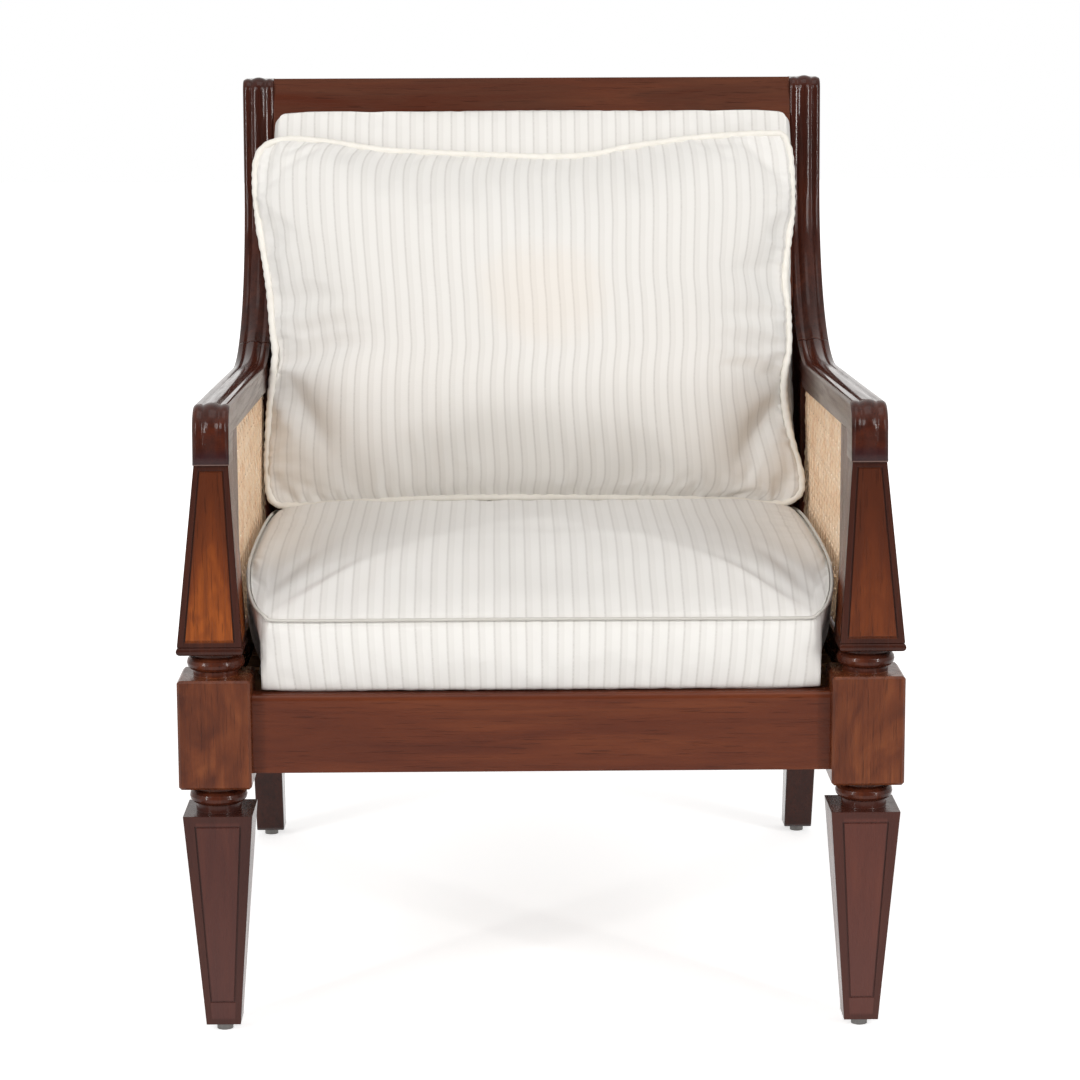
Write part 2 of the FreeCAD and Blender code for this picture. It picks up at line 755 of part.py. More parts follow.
def side_panel_rail(post):
    """Bottom rail of the caned side, on the seat rail."""
    bar = box((arm_inner + side_panel_reveal, arm_outer - side_panel_reveal),
              (side_stile_rear, back_rail_depth), (seat_rail_top, seat_rail_top + side_panel_rail_height))
    return front_part(bar.cut(post))


def front_part(shape):
    """The foremost solid of a shape that a cut has parted."""
    return min(shape.Solids, key=lambda solid: solid.BoundBox.YMin)


back_rail_tenon_front = (back_rail_thickness - tenon_thickness) / 2
side_tenon_end = (back_rail_depth + back_rail_tenon_front - tenon_end_gap - 2 * joint_clearance
                  - tenon_end_gap)


def side_tenon(grow=0.0, end_gap=0.0):
    """Bar that is a side rail's two tenons, or with some growth their mortises."""
    return box(spread(arm_x, tenon_thickness + 2 * grow),
               (block_width - tenon_length - end_gap, side_tenon_end + end_gap),
               (seat_rail_bottom + tenon_shoulder - grow, seat_rail_top - tenon_shoulder + grow))


def side_seat_rail(post):
    """Side rail of the seat, shouldered to the sloping front of the back leg."""
    bar = box((side_rail_inner, side_rail_outer), (block_width, back_rail_depth),
              (seat_rail_bottom, seat_rail_top))
    return front_part(bar.cut(post)).fuse(side_tenon())


cleat_rear = leg_front_depth + cleat_width + 2 * cleat_end_gap


def seat_cleat():
    """Strip inside the side rail that carries the slats."""
    return box((side_rail_inner - cleat_width, side_rail_inner),
               (block_width + cleat_end_gap, cleat_rear), (cleat_top - cleat_height, cleat_top))


def seat_slats():
    """Slats of the deck, from the front."""
    start = block_width + deck_front_gap
    width = (cleat_rear - start - slat_gap * (slat_count - 1)) / slat_count
    half_length = arm_inner - slat_end_gap
    return [box((-half_length, half_length), (start + i * (width + slat_gap),
                                              start + i * (width + slat_gap) + width),
                (cleat_top, seat_rail_top)) for i in range(slat_count)]


def plate(corners, low, high):
    """Upright prism over a plan outline of (x, depth) corners."""
    spots = [point(x, depth, low) for x, depth in corners]
    return flat_face(spots).extrude(FreeCAD.Vector(0, 0, high - low))


block_low = seat_rail_bottom + corner_block_lift
front_rail_rear = front_rail_depth + front_rail_thickness


def front_corner_block():
    """Glue block round the inner corner of the front post."""
    return plate([(block_inner, front_rail_rear), (block_inner, block_width),
                  (side_rail_inner, block_width), (side_rail_inner, block_width + corner_block_leg),
                  (block_inner - corner_block_leg, front_rail_rear)],
                 block_low, block_low + corner_block_height)


def back_corner_block():
    """Glue block between the side rail and the back rail."""
    return plate([(arm_inner, back_rail_depth), (arm_inner, cleat_rear),
                  (side_rail_inner, cleat_rear), (side_rail_inner, cleat_rear - corner_block_leg / 2),
                  (arm_inner - corner_block_leg, back_rail_depth)],
                 block_low, block_low + corner_block_height)


def glide_nail(foot, grow=0.0, end_gap=0.0):
    """Square nail that holds a glide under a foot, or with growth its hole."""
    length = glide_nail_length + end_gap
    return box(spread(foot[0], glide_nail_width + 2 * grow), spread(foot[1], glide_nail_width + 2 * grow),
               (foot_bottom, foot_bottom + length))


def glide(foot):
    """Round steel glide, nailed under a foot at (x, depth)."""
    profile = [(0, 0), (glide_radius, 0), (glide_radius, foot_bottom), (0, foot_bottom)]
    return turned(profile, foot).fuse(glide_nail(foot))


# Seat cushion, as shares of its depth, half width, rise of its sides and crown
seat_section_shares = [(0.0, 0.905, 0.0, 0.1), (0.045, 0.916, 0.27, 0.33), (0.1, 0.934, 0.5, 0.55),
                       (0.18, 0.964, 0.74, 0.78), (0.3, 0.988, 0.92, 0.93), (0.5, 0.996, 1.0, 1.0),
                       (0.72, 0.996, 0.99, 0.93), (0.9, 0.984, 0.95, 0.72), (1.0, 0.965, 0.9, 0.5)]
seat_cushion_foot = seat_rail_top + soft_clearance
seat_cushion_rear = (back_plane_depth
                     - (back_plane_height - seat_cushion_foot) * math.tan(math.radians(back_lean))
                     - 4 * soft_clearance)


def crowned_wire(corners, side_bulge, top_middle):
    """Closed wire round four corners, from the lower left, with bulging sides and a crowned top."""
    low_left, low_right, high_right, high_left = corners
    edges = [Part.LineSegment(low_left, low_right).toShape(),
             Part.Arc(low_right, (low_right + high_right) / 2 + side_bulge, high_right).toShape(),
             Part.Arc(high_right, top_middle, high_left).toShape(),
             Part.Arc(high_left, (low_left + high_left) / 2 - side_bulge, low_left).toShape()]
    return Part.Wire(edges)


def seat_cushion():
    """Boxed seat cushion, narrower between the posts and wider between the caned sides."""
    sections = []
    for depth_share, width_share, rise_share, crown_share in seat_section_shares:
        depth = seat_cushion_front + (seat_cushion_rear - seat_cushion_front) * depth_share
        high = seat_front_height + (seat_side_height - seat_front_height) * rise_share
        half = cushion_half_width * width_share - seat_side_bulge
        low_half = half - seat_cushion_drawn_in
        corners = [point(-low_half, depth, seat_cushion_foot), point(low_half, depth, seat_cushion_foot),
                   point(half, depth, high), point(-half, depth, high)]
        sections.append(crowned_wire(corners, FreeCAD.Vector(seat_side_bulge, 0, 0),
                                     point(0, depth, high + seat_crown * crown_share)))
    return Part.makeLoft(sections, True, True)


seat_top = seat_side_height + seat_crown

# Back cushion, as shares of its height, half width, thickness and crown
back_section_shares = [(0.0, 0.985, 0.88, 0.4), (0.12, 0.986, 0.93, 0.65), (0.27, 0.986, 0.97, 0.85),
                       (0.5, 0.982, 1.0, 0.95), (0.75, 0.986, 0.97, 0.8), (0.9, 0.986, 0.9, 0.5),
                       (0.97, 0.98, 0.8, 0.25), (1.0, 0.965, 0.7, 0.1)]
back_cushion_foot = up_back(seat_top) - back_cushion_thickness
back_cushion_top = crest_top - crest_shown


def back_cushion():
    """Boxed back cushion that stands on the seat cushion and leans on the caned back."""
    sections = []
    for height_share, width_share, thick_share, crown_share in back_section_shares:
        along = back_cushion_foot + (back_cushion_top - back_cushion_foot) * height_share
        half = loose_half_width * width_share
        front = -soft_clearance - back_cushion_thickness * thick_share
        corners = [FreeCAD.Vector(-half, front, along), FreeCAD.Vector(half, front, along),
                   FreeCAD.Vector(half, -soft_clearance, along),
                   FreeCAD.Vector(-half, -soft_clearance, along)]
        middle = FreeCAD.Vector(0, front - back_cushion_crown * crown_share, along)
        edges = [Part.Arc(corners[0], middle, corners[1]).toShape(),
                 Part.LineSegment(corners[1], corners[2]).toShape(),
                 Part.LineSegment(corners[2], corners[3]).toShape(),
                 Part.LineSegment(corners[3], corners[0]).toShape()]
        sections.append(Part.Wire(edges))
    body = Part.makeLoft(sections, True, True)
    body.Placement = on_back(0)
    below = box((-overall_width, overall_width), (0, overall_depth), (0, seat_top + soft_clearance))
    return body.cut(below)


# Pillow, as shares of its height, left and right half width and thickness
pillow_section_shares = [(0.0, 0.99, 0.985, 0.07), (0.05, 0.97, 0.973, 0.3), (0.13, 0.95, 0.96, 0.56),
                         (0.27, 0.93, 0.94, 0.86), (0.48, 0.925, 0.93, 1.0), (0.68, 0.942, 0.933, 0.93),
                         (0.84, 0.98, 0.945, 0.68), (0.94, 1.025, 0.967, 0.36), (1.0, 1.045, 0.98, 0.07)]
pillow_plane = -(soft_clearance + back_cushion_thickness + back_cushion_crown + pillow_gap
                 + pillow_rear_crown)
pillow_foot_setback = (pillow_plane + pillow_rear_crown) * math.sin(math.radians(back_lean))
pillow_foot = up_back(seat_top + soft_clearance + pillow_foot_setback)
pillow_top = back_cushion_top - pillow_top_drop


def pillow():
    """Loose knife-edge pillow, crowned in front and flatter where it leans on the back cushion."""
    sections = []
    for height_share, left_share, right_share, thick_share in pillow_section_shares:
        along = pillow_foot + (pillow_top - pillow_foot) * height_share
        left = FreeCAD.Vector(-loose_half_width * left_share, pillow_plane, along)
        right = FreeCAD.Vector(loose_half_width * right_share, pillow_plane, along)
        front = FreeCAD.Vector(0, pillow_plane - pillow_front_crown * thick_share, along)
        back = FreeCAD.Vector(0, pillow_plane + pillow_rear_crown * thick_share, along)
        sections.append(Part.Wire([Part.Arc(left, front, right).toShape(),
                                   Part.Arc(right, back, left).toShape()]))
    body = Part.makeLoft(sections, True, True)
    body.Placement = on_back(0)
    return body


def export(name, shape):
    """Write one piece."""
    shape.exportStep("parts/" + name + ".step")


def export_pair(name, right):
    """Write a piece and its mirror image."""
    export(name + "_right", right)
    export(name + "_left", mirrored(right))


def main():
    os.makedirs("parts", exist_ok=True)

    middle_tenon = (front_rail_thickness - tenon_thickness) / 2
    front_rail, front_mortise = cross_rail(2 * block_inner, front_rail_thickness, seat_rail_height,
                                           middle_tenon, level(front_rail_depth, seat_rail_bottom))
    back_rail, back_mortise = cross_rail(2 * arm_inner, back_rail_thickness, seat_rail_height,
                                         back_rail_tenon_front, level(back_rail_depth, seat_rail_bottom))
    crest, crest_mortise = cross_rail(2 * arm_inner, back_frame_thickness, crest_height,
                                      back_tenon_setback, on_back(crest_foot))
    low_rail, low_mortise = cross_rail(2 * arm_inner, back_frame_thickness, lower_back_rail_height,
                                       back_tenon_setback, on_back(lower_rail_foot))
    side_mortise = side_tenon(joint_clearance, tenon_end_gap)
    bow_mortise = stub_tenon(bow_joint, joint_clearance, tenon_end_gap)

    front_foot = (leg_axis_x, front_post_depth)
    back_foot = (arm_x + back_foot_splay, overall_depth - back_foot_depth / 2)
    arm_body = arm()
    post = back_post()

    export_pair("front_post", front_post().cut(front_mortise).cut(side_mortise)
                .cut(glide_nail(front_foot, joint_clearance, tenon_end_gap)))
    export_pair("arm", arm_body)
    export_pair("back_post", post.cut(back_mortise).cut(crest_mortise).cut(low_mortise)
                .cut(side_mortise).cut(bow_mortise)
                .cut(glide_nail(back_foot, joint_clearance, tenon_end_gap)))
    export_pair("front_glide", glide(front_foot))
    export_pair("back_glide", glide(back_foot))

    export("front_seat_rail", rounded_rail(front_rail))
    export("back_seat_rail", back_rail)
    export_pair("side_seat_rail", side_seat_rail(post))
    export("crest_rail", crest)
    export("lower_back_rail", low_rail)
    export_pair("back_stile", back_stile())
    export("back_cane", back_cane())

    export_pair("side_panel_stile", side_panel_stile())
    export_pair("side_panel_rail", side_panel_rail(post))
    export_pair("side_cane", side_cane(arm_body, post))

    export_pair("seat_cleat", seat_cleat())
    for number, slat in enumerate(seat_slats(), 1):
        export("seat_slat_" + str(number), slat)
    export_pair("corner_block_front", front_corner_block())
    export_pair("corner_block_back", back_corner_block())

    export("seat_cushion", seat_cushion())
    export("back_cushion", back_cushion())
    export("pillow", pillow())


main()
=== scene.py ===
import bmesh
import bpy
import math
import numpy as np
from mathutils import Matrix, Vector, noise


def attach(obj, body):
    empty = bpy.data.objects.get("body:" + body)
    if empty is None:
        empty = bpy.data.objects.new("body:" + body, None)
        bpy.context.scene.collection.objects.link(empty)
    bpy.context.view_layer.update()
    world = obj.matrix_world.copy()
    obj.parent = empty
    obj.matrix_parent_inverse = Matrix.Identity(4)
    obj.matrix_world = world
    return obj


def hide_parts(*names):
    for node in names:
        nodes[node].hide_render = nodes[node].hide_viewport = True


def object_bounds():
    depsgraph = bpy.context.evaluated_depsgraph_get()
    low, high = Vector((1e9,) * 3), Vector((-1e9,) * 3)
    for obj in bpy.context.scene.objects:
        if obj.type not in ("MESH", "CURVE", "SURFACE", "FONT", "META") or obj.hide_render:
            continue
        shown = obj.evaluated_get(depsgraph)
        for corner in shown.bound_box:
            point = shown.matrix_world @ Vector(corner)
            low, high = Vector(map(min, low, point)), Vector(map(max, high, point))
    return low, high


# Planters chair. Metres and radians in the scene; sizes below are typed in millimetres.
# Depth runs rearward from the front of the front legs, height runs up from the floor.

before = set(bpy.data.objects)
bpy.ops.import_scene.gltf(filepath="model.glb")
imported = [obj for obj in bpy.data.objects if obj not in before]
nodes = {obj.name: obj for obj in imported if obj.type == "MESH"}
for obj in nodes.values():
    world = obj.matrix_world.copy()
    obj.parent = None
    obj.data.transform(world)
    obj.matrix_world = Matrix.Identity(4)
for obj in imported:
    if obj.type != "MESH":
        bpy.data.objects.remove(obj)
cad_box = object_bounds()
MM = 0.001
low_corner, high_corner = cad_box
front_y = low_corner[1]

# Photograph's camera
camera_height = 1000.3
camera_side = -37.14
camera_away = 2900.0
camera_yaw = 0.712
camera_pitch = 9.921
camera_roll = -0.225
camera_lens = 103.19

# The slope that the back, the back cushion and the pillow share
back_lean = math.radians(15.904)
back_plane_depth = 556.0
back_plane_height = 450.0

# Fabric: its stripes in millimetres, its threads in metres
stripe_pitch = 15.3
thread_pitch = 0.00075


def spot(x, depth, height):
    """Place in the row frame from millimetres across, rearward and up."""
    return Vector((x * MM, front_y + depth * MM, height * MM))


# Node trees


class Tree:
    """Short way to build the nodes of a material, or of the world that is handed in."""

    def __init__(self, name, world=None):
        self.material = world or bpy.data.materials.new(name)
        self.material.use_nodes = True
        self.nodes = self.material.node_tree.nodes
        self.shader = self.nodes["Background" if world else "Principled BSDF"]

    def plug(self, value, socket):
        """Links a socket to another or gives it a value. None leaves it as it is."""
        if isinstance(value, bpy.types.NodeSocket):
            self.material.node_tree.links.new(value, socket)
        elif value is not None:
            socket.default_value = value

    def node(self, kind, values, **settings):
        """New node. Values say what its sockets get, by name or number."""
        node = self.nodes.new("ShaderNode" + kind)
        for name, value in settings.items():
            setattr(node, name, value)
        for socket, value in values.items():
            self.plug(value, node.inputs[socket])
        return node

    def math(self, operation, *values):
        return self.node("Math", dict(enumerate(values)), operation=operation).outputs[0]

    def plus(self, first, second):
        return self.math("ADD", first, second)

    def minus(self, first, second):
        return self.math("SUBTRACT", first, second)

    def times(self, first, second):
        return self.math("MULTIPLY", first, second)

    def over(self, first, second):
        return self.math("DIVIDE", first, second)

    def coordinates(self, kind="Object"):
        return self.node("TexCoord", {}).outputs[kind]

    def parts(self, vector):
        return self.node("SeparateXYZ", {0: vector}).outputs

    def stretched(self, vector, scale, shift=(0, 0, 0)):
        return self.node("Mapping", {"Vector": vector, "Scale": scale, "Location": shift}).outputs[0]

    def noise(self, vector, scale, detail=3.0, roughness=0.5, distortion=0.0):
        return self.node("TexNoise", {"Vector": vector, "Scale": scale, "Detail": detail,
                                      "Roughness": roughness, "Distortion": distortion}).outputs["Fac"]

    def ramp(self, value, stops):
        node = self.node("ValToRGB", {0: value})
        elements = node.color_ramp.elements
        for number, (position, colour) in enumerate(stops):
            element = elements[number] if number < 2 else elements.new(position)
            element.position = position
            element.color = (*colour, 1.0)
        return node.outputs[0]

    def step(self, value, low, high, start=0.0, end=1.0):
        return self.node("MapRange", {"Value": value, "From Min": low, "From Max": high, "To Min": start,
                                      "To Max": end}, interpolation_type="SMOOTHSTEP").outputs[0]

    def mix(self, amount, first, second):
        node = self.node("Mix", {0: amount}, data_type="RGBA")
        colours = [socket for socket in node.inputs if socket.type == "RGBA"]
        for value, socket in zip((first, second), colours):
            self.plug((*value, 1.0) if isinstance(value, tuple) else value, socket)
        return [socket for socket in node.outputs if socket.type == "RGBA"][0]

    def bump(self, height, distance, strength, normal=None):
        return self.node("Bump", {"Height": height, "Distance": distance, "Strength": strength,
                                  "Normal": normal}).outputs[0]

    def soft_edge(self, radius):
        return self.node("Bevel", {"Radius": radius}, samples=6).outputs[0]

    def finish(self, colour, roughness, normal=None, **sockets):
        inputs = self.shader.inputs
        self.plug(colour, inputs["Base Color"])
        self.plug(roughness, inputs["Roughness"])
        self.plug(normal, inputs["Normal"])
        if "Coat Weight" in sockets:
            self.plug(normal, inputs["Coat Normal"])
        for name, value in sockets.items():
            inputs[name].default_value = value
        return self.material


# Wood

DARK_WOOD = (0.030, 0.0085, 0.0055)
RED_WOOD = (0.085, 0.020, 0.0095)
WARM_WOOD = (0.165, 0.044, 0.016)
PLAIN_TONES = (DARK_WOOD, RED_WOOD, WARM_WOOD)
CARVED_TONES = (DARK_WOOD, (0.060, 0.015, 0.009), RED_WOOD)
BLOCK_TONES = ((0.070, 0.018, 0.009), (0.145, 0.038, 0.014), (0.215, 0.062, 0.021))
INNER_TONES = ((0.20, 0.11, 0.055), (0.34, 0.20, 0.10), (0.45, 0.29, 0.16))


def wood_grain(tree, axis, shift):
    """Broad figure, fine streaks and pores that run along an axis, each from 0 to 1."""
    place = tree.coordinates()

    def figure(along, beside, *settings):
        scale = tuple(along if name == axis else beside for name in "xyz")
        return tree.noise(tree.stretched(place, scale, shift), *settings)

    return (figure(1.0, 9.0, 3.2, 4.0, 0.55, 0.9), figure(2.0, 42.0, 4.0, 5.0, 0.6, 0.3),
            figure(24.0, 700.0, 1.0, 2.0, 0.5))


def wood_finish(tree, colour, grain, gloss=0.24, softened=True):
    """French polish over the grain, with softened edges where the mesh has none."""
    _, streaks, pores = grain
    rough = tree.step(streaks, 0.3, 0.75, gloss - 0.05, gloss + 0.10)
    edges = tree.soft_edge(0.0009) if softened else None
    normal = tree.bump(tree.step(pores, 0.30, 0.42), 0.00012, 0.35, edges)
    return tree.finish(colour, rough, normal, **{"Coat Weight": 0.16, "Coat Roughness": 0.09,
                                                 "Specular IOR Level": 0.12})


def wood_colour(tree, grain, tones, figure=None):
    """Colour from dark, middle and light tones. A figure takes the place of the grain's own."""
    dark, middle, light = tones
    own_figure, streaks, pores = grain
    stops = [(0.28, dark), (0.72, light), (0.50, middle)]
    base = tree.ramp(own_figure if figure is None else figure, stops)
    streaky = tree.mix(tree.step(streaks, 0.35, 0.70, 0.0, 0.55), base, dark)
    return tree.mix(tree.step(pores, 0.40, 0.32, 0.0, 0.45), streaky, tuple(c * 0.35 for c in dark))


def polished_wood(name, axis, shift, tones=PLAIN_TONES):
    """Dark polished wood with its grain along one axis."""
    tree = Tree(name)
    grain = wood_grain(tree, axis, shift)
    return wood_finish(tree, wood_colour(tree, grain, tones), grain)


def carved_wood(name, axis, shift):
    """Darker polished wood of the arms and stiles. At the scroll's front it is darkest just above the joint,
    a band of painted shade, with a thin painted highlight line along the joint itself.
    """
    tree = Tree(name)
    grain = wood_grain(tree, axis, shift)
    colour = wood_colour(tree, grain, CARVED_TONES)
    _, y, height = tree.parts(tree.coordinates())[:3]
    at_front = tree.step(y, front_y + 0.055, front_y + 0.050)
    # Painted light at the scroll's front: the first band is painted shade where the scroll turns under, the
    # second a thin painted highlight along the joint.
    for top, foot, tone in ((0.583, 0.574, (0.024, 0.010, 0.014)), (0.5668, 0.5663, (0.30, 0.19, 0.16))):
        band = tree.times(tree.step(height, top, foot), at_front)
        colour = tree.mix(tree.times(band, 0.6), colour, tone)
    return wood_finish(tree, colour, grain, 0.13, softened=False)


# Panels of the front posts, in metres: two heights, then what the panel measures at each
SUPPORT_PANEL = {"low": 0.390, "high": 0.5655, "middle": (0.318, 0.313), "half": (0.031, 0.0165),
                 "depth_middle": (0.033, 0.0288), "depth_half": (0.030, 0.0212), "margin": (0.0078, 0.006)}
LEG_PANEL = {"low": 0.0084, "high": 0.2233, "middle": (0.3135, 0.3135), "half": (0.01675, 0.0335),
             "depth_middle": (0.03515, 0.03515), "depth_half": (0.01675, 0.0335), "margin": (0.0058, 0.0122)}


def panel_mask(tree, across, depth, height, on_side, panel):
    """1 inside the scratched line of a tapered panel and 0 on its border, and how far out a place is."""
    share = tree.over(tree.minus(height, panel["low"]), panel["high"] - panel["low"])

    def along(name):
        first, last = panel[name]
        return tree.math("MULTIPLY_ADD", share, last - first, first)

    def inside(place, middle, half):
        from_middle = tree.math("ABSOLUTE", tree.minus(place, along(middle)))
        room = tree.minus(tree.minus(along(half), along("margin")), from_middle)
        return tree.step(room, -0.0006, 0.0004), tree.over(from_middle, along(half))

    faces = zip(inside(across, "middle", "half"), inside(depth, "depth_middle", "depth_half"))
    mask, spread = [tree.plus(tree.times(front, tree.minus(1.0, on_side)), tree.times(side, on_side))
                    for front, side in faces]
    ends = tree.times(tree.step(share, 0.02, 0.035), tree.step(share, 0.975, 0.96))
    return tree.times(mask, ends), spread


def front_post_wood(name, shift, fire_tones, leg_tone):
    """Front post: flame figure in the support's panels, plainer wood in the block and leg, with a painted
    reflection of the floor low on the leg.
    """
    tree = Tree(name)
    grain = wood_grain(tree, "z", shift)
    place = tree.coordinates()
    x, y, height = tree.parts(place)[:3]
    across, depth = tree.math("ABSOLUTE", x), tree.minus(y, front_y)
    facing = tree.parts(tree.node("NewGeometry", {}).outputs["Normal"])
    on_side = tree.math("GREATER_THAN", tree.math("ABSOLUTE", facing[0]), 0.5)
    support, spread = panel_mask(tree, across, depth, height, on_side, SUPPORT_PANEL)
    leg, _ = panel_mask(tree, across, depth, height, on_side, LEG_PANEL)

    wobble = tree.noise(tree.stretched(place, (9, 9, 5), shift), 5.0, 3.0, 0.5, 0.4)
    rise = tree.math("MULTIPLY_ADD", tree.math("POWER", spread, 1.6), 0.085, height)
    rings = tree.plus(tree.times(rise, 21.0), tree.times(wobble, 2.6))
    flame = tree.math("MULTIPLY_ADD", tree.math("SINE", tree.times(rings, 6.2832)), 0.5, 0.5)
    glow = tree.times(tree.step(rise, 0.57, 0.43), tree.math("MULTIPLY_ADD", flame, 0.22, 0.78))
    fire = wood_colour(tree, grain, fire_tones, tree.math("MULTIPLY_ADD", glow, 0.50, 0.24))
    plain = wood_colour(tree, grain, PLAIN_TONES)
    upper = tree.step(height, 0.372, 0.380)
    border = tree.mix(upper, plain, tree.mix(0.6, plain, DARK_WOOD))
    swirl = tree.noise(tree.stretched(place, (14, 14, 8), shift), 1.6, 3.0, 0.5, 1.6)
    in_block = tree.times(tree.step(height, 0.2490, 0.2500), tree.step(height, 0.3585, 0.3575))
    border = tree.mix(in_block, border, wood_colour(tree, grain, BLOCK_TONES, swirl))
    colour = tree.mix(support, border, fire)
    leg_colour = tree.mix(0.60, plain, leg_tone)
    # Painted reflection: the leg turns lighter and greyer towards the foot, standing in for the pale floor's
    # sheen on the polished wood.
    leg_colour = tree.mix(tree.step(height, 0.20, 0.03, 0.08, 0.26), leg_colour, (0.17, 0.080, 0.070))
    lower = tree.step(height, 0.236, 0.228)
    colour = tree.mix(lower, colour, tree.mix(leg, tree.mix(0.5, leg_colour, DARK_WOOD), leg_colour))
    return wood_finish(tree, colour, grain)


def inner_wood():
    """Unpolished secondary wood of the deck and blocks."""
    tree = Tree("inner_wood_grain")
    grain = wood_grain(tree, "x", (3.0, 1.0, 2.0))
    streaks = grain[1]
    normal = tree.bump(streaks, 0.0003, 0.4, tree.soft_edge(0.0008))
    rough = tree.step(streaks, 0.3, 0.7, 0.55, 0.75)
    return tree.finish(wood_colour(tree, grain, INNER_TONES), rough, normal)


def steel():
    """Worn dark steel of the glides."""
    tree = Tree("glide_steel")
    scratches = tree.noise(tree.stretched(tree.coordinates(), (1, 1, 6)), 260.0, 4.0, 0.6)
    colour = tree.mix(scratches, (0.10, 0.095, 0.09), (0.26, 0.25, 0.24))
    rough = tree.step(scratches, 0.3, 0.7, 0.30, 0.55)
    return tree.finish(colour, rough, tree.bump(scratches, 0.0002, 0.3), Metallic=0.9)


def cane_skin():
    """Glossy peel of woven cane, honey coloured with darker nodes."""
    tree = Tree("cane_peel")
    place = tree.coordinates()
    fibres = tree.noise(tree.stretched(place, (900, 900, 900)), 1.0, 2.0)
    colour = tree.ramp(tree.noise(place, 38.0, 3.0, 0.6), [
        (0.30, (0.84, 0.58, 0.38)), (0.70, (0.98, 0.82, 0.64)), (0.50, (0.94, 0.73, 0.52))])
    colour = tree.mix(tree.step(fibres, 0.35, 0.65, 0.0, 0.20), colour, (0.52, 0.34, 0.20))
    return tree.finish(colour, tree.step(fibres, 0.3, 0.7, 0.38, 0.55), tree.bump(fibres, 0.0001, 0.4))


def cloth_finish(tree, colour, threads, normal):
    """Matt cloth with a little sheen."""
    return tree.finish(colour, tree.step(threads, 0.2, 0.8, 0.80, 0.92), normal,
                       **{"Sheen Weight": 0.25, "Sheen Roughness": 0.5, "Specular IOR Level": 0.25})


def ticking(name, stain=None):
    """Cream ticking with thin woven stripes. Its UV map is the cloth, in metres."""
    tree = Tree(name)
    cloth = tree.coordinates("UV")
    u, v = tree.parts(cloth)[:2]
    wave = tree.noise(cloth, 9.0, 2.0)
    turn = tree.math("FRACT", tree.plus(tree.over(u, stripe_pitch * MM), tree.times(wave, 0.10)))
    line = tree.times(tree.step(turn, 0.0, 0.08), tree.step(turn, 0.22, 0.11))
    band = tree.times(tree.step(turn, 0.10, 0.20), tree.step(turn, 0.56, 0.48))
    dashes = tree.noise(tree.stretched(cloth, (400, 2600, 1)), 1.0, 1.0)
    broken = tree.times(line, tree.step(dashes, 0.36, 0.60, 0.45, 1.0))
    base = tree.mix(tree.noise(cloth, 5.0, 3.0), (0.785, 0.762, 0.722), (0.845, 0.825, 0.795))
    base = tree.mix(tree.times(band, 0.34), base, (0.70, 0.675, 0.635))
    base = tree.mix(tree.times(broken, 0.52), base, (0.47, 0.44, 0.405))
    if stain:
        sides = [tree.over(tree.minus(place, middle), reach) for place, (middle, reach) in zip((u, v), stain)]
        away = tree.plus(*[tree.times(side, side) for side in sides])
        away = tree.plus(away, tree.times(tree.noise(cloth, 26.0, 3.0), 0.5))
        base = tree.mix(tree.step(away, 1.3, 0.35, 0.0, 0.18), base, (0.83, 0.68, 0.53))
    threads = [tree.math("SINE", tree.times(place, 2 * math.pi / thread_pitch)) for place in (u, v)]
    slubs = tree.noise(tree.stretched(cloth, (130, 900, 1)), 1.0, 2.0)
    height = tree.plus(tree.times(tree.times(*threads), 0.35), slubs)
    return cloth_finish(tree, base, slubs, tree.bump(height, 0.0004, 0.5))


def piping_cloth(name, shade):
    """Plain cream cloth of the piping. A shade below 1 darkens it as painted shade, standing in for the
    shadow along a seam.
    """
    tree = Tree(name)
    place = tree.coordinates()
    worn, clean = (tuple(c * shade for c in tone) for tone in ((0.77, 0.73, 0.66), (0.88, 0.85, 0.79)))
    threads = tree.noise(place, 1500.0, 2.0, 0.6)
    return cloth_finish(tree, tree.mix(tree.noise(place, 60.0, 3.0), worn, clean), threads,
                        tree.bump(threads, 0.0003, 0.5))


# Meshes


def add_mesh(name, vertices, faces, material, cloth=None, smooth=True):
    """Mesh object. Cloth gives each vertex its place on the flat fabric, in metres."""
    mesh = bpy.data.meshes.new(name)
    mesh.from_pydata([tuple(v) for v in vertices], [], faces)
    mesh.update()
    if cloth is not None:
        layer = mesh.uv_layers.new(name="cloth")
        loops = np.zeros(len(mesh.loops), dtype=np.int32)
        mesh.loops.foreach_get("vertex_index", loops)
        layer.data.foreach_set("uv", np.asarray(cloth, dtype=np.float32)[loops].ravel())
    if smooth:
        mesh.polygons.foreach_set("use_smooth", [True] * len(mesh.polygons))
    mesh.materials.append(material)
    thing = bpy.data.objects.new(name, mesh)
    bpy.context.scene.collection.objects.link(thing)
    return thing


def lengths_along(line):
    """Distance of each place on a line from its start."""
    return np.concatenate([[0], np.cumsum(np.linalg.norm(np.diff(line, axis=0), axis=1))])


def places_at(line, lengths, wanted):
    """Places on a line at wanted distances from its start."""
    return np.stack([np.interp(wanted, lengths, line[:, k]) for k in range(line.shape[1])], axis=1)


def unit(rows):
    return rows / np.linalg.norm(rows, axis=1)[:, None]


def through(points, count):
    """Even places along a smooth line through a few points, as an array."""
    points = np.array(points, dtype=float)
    padded = np.vstack([2 * points[0] - points[1], points, 2 * points[-1] - points[-2]])
    t = np.linspace(0, 1, 24, endpoint=False)[:, None]
    fine = []
    for i in range(1, len(padded) - 2):
        a, b, c, d = padded[i - 1:i + 3]
        fine.append(0.5 * (2 * b + (c - a) * t + (2 * a - 5 * b + 4 * c - d) * t ** 2
                           + (3 * b - a - 3 * c + d) * t ** 3))
    fine = np.vstack(fine + [padded[-2][None]])
    lengths = lengths_along(fine)
    return places_at(fine, lengths, np.linspace(0, lengths[-1], count))


